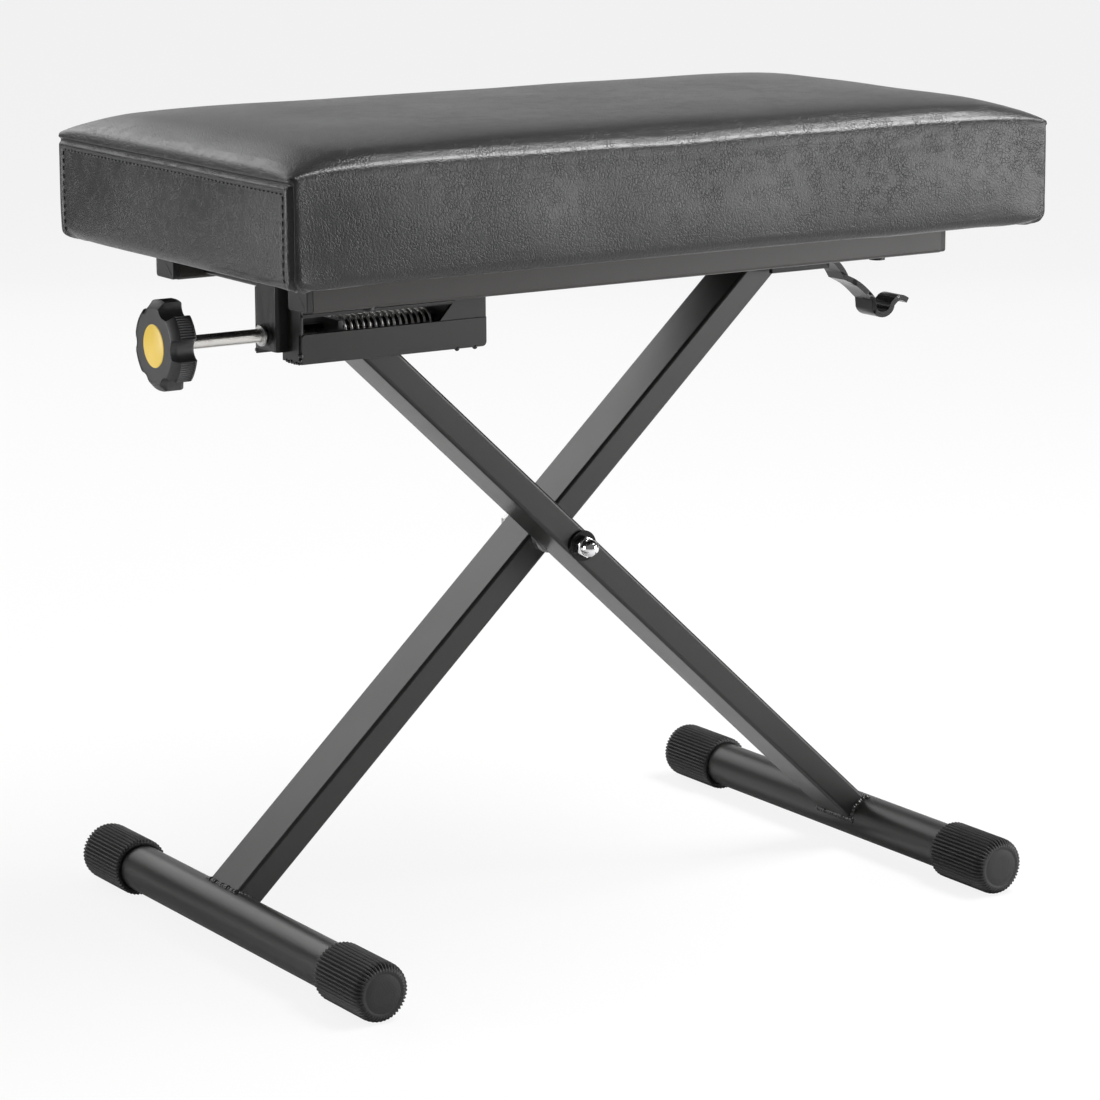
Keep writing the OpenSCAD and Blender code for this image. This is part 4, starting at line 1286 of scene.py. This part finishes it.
keptNodes = {"seat_screws": "powderCoat", "rear_axle": "zinc", "lever_pin": "zinc", "leg_pins": "zinc",
             "pivot_spacer": "zinc"}
for name, finish in keptNodes.items():
    node = frame["nodes"][name]
    node.data.materials.clear()
    node.data.materials.append(finishes[finish])


# Floor, lights and camera

stageSettings = {
    "floor": (0.80, 0.80, 0.80), "world": 0.17, "worldSeen": 0.9, "floorGlow": 0.86,
    # name, place, aim, width and height, brightness
    "boxes": (
        ("overheadBox", (1.05, -0.42, 2.05), (0, 0, 0.45), (1.3, 0.8), 18.0),
        ("frontRightBox", (2.55, -2.1, 0.75), (0.2, 0, 0.45), (2.3, 1.5), 6.6),
        ("backRightBox", (1.5, 2.5, 0.85), (0, 0, 0.5), (3.2, 0.9), 0.75),
        ("leftBox", (-2.3, 1.0, 0.55), (0, 0, 0.45), (1.4, 1.1), 6.5),
        ("backLeftBox", (-0.45, 2.3, 1.75), (0, 0, 0.25), (2.2, 1.2), 2.6),
    ),
}


def addLight(name, place, target, size, brightness):
    # The power gives every softbox the stated brightness whatever its size.
    light = bpy.data.lights.new(name, "AREA")
    light.shape = "RECTANGLE"
    light.size, light.size_y = size
    light.energy = math.pi * size[0] * size[1] * brightness
    lamp = bpy.data.objects.new(name, light)
    lamp.location = place
    lamp.rotation_euler = (Vector(target) - Vector(place)).to_track_quat("-Z", "Y").to_euler()
    scene.collection.objects.link(lamp)


def buildStage():
    bm = bmesh.new()
    bmesh.ops.create_grid(bm, x_segments=1, y_segments=1, size=30)
    floor = meshObject("studioFloor", bm)
    paint = bpy.data.materials.new("studioFloorPaint")
    paint.use_nodes = True
    shader = paint.node_tree.nodes["Principled BSDF"]
    shader.inputs["Base Color"].default_value = (*stageSettings["floor"], 1)
    shader.inputs["Roughness"].default_value = 0.9
    shader.inputs["Specular IOR Level"].default_value = 0.0
    # the floor shows paler than it lights the bench, as a backdrop lit on its own does
    tree = paint.node_tree
    glow = addNode(tree, "ShaderNodeEmission", Color=(1, 1, 1, 1), Strength=1.0)
    rays = tree.nodes.new("ShaderNodeLightPath")
    seen = mathNode(tree, "MULTIPLY", rays.outputs["Is Camera Ray"], stageSettings["floorGlow"])
    both = tree.nodes.new("ShaderNodeMixShader")
    tree.links.new(seen, both.inputs[0])
    tree.links.new(shader.outputs["BSDF"], both.inputs[1])
    tree.links.new(glow.outputs["Emission"], both.inputs[2])
    # seen from below it is clear, so the underside can be looked at
    side = tree.nodes.new("ShaderNodeNewGeometry")
    clear = tree.nodes.new("ShaderNodeBsdfTransparent")
    facing = tree.nodes.new("ShaderNodeMixShader")
    tree.links.new(side.outputs["Backfacing"], facing.inputs[0])
    tree.links.new(both.outputs["Shader"], facing.inputs[1])
    tree.links.new(clear.outputs["BSDF"], facing.inputs[2])
    tree.links.new(facing.outputs["Shader"], tree.nodes["Material Output"].inputs["Surface"])
    floor.data.materials.append(paint)
    world = bpy.data.worlds.new("studioWorld")
    world.use_nodes = True
    back = world.node_tree.nodes["Background"]
    back.inputs["Color"].default_value = (1, 1, 1, 1)
    worldTree = world.node_tree
    sight = worldTree.nodes.new("ShaderNodeLightPath")
    strength = mathNode(worldTree, "MULTIPLY_ADD", sight.outputs["Is Camera Ray"],
                        stageSettings["worldSeen"] - stageSettings["world"])
    strength.node.inputs[2].default_value = stageSettings["world"]
    worldTree.links.new(strength, back.inputs["Strength"])
    scene.world = world
    for box in stageSettings["boxes"]:
        addLight(*box)
    print("stage set")


cameraSettings = {"place": (-1.4520, -2.25411, 0.81728), "yaw": 32.991, "pitch": 12.055, "roll": -0.182,
                  "lens": 129.974, "shift": (-0.01062, -0.00436)}


def buildCamera():
    c = cameraSettings
    yaw, pitch, roll = (math.radians(c[k]) for k in ("yaw", "pitch", "roll"))
    forward = Vector((math.sin(yaw) * math.cos(pitch), math.cos(yaw) * math.cos(pitch), -math.sin(pitch)))
    right = Vector((math.cos(yaw), -math.sin(yaw), 0))
    up = right.cross(forward)
    across = right * math.cos(roll) + up * math.sin(roll)
    upright = up * math.cos(roll) - right * math.sin(roll)
    lens = bpy.data.cameras.new("viewCamera")
    lens.lens = c["lens"]
    lens.sensor_width = 36
    lens.shift_x, lens.shift_y = c["shift"]
    camera = bpy.data.objects.new("viewCamera", lens)
    turn = Matrix((across, upright, -forward)).transposed().to_4x4()
    camera.matrix_world = Matrix.Translation(c["place"]) @ turn
    scene.collection.objects.link(camera)
    scene.camera = camera


buildStage()
buildCamera()
scene.view_settings.view_transform = "Standard"
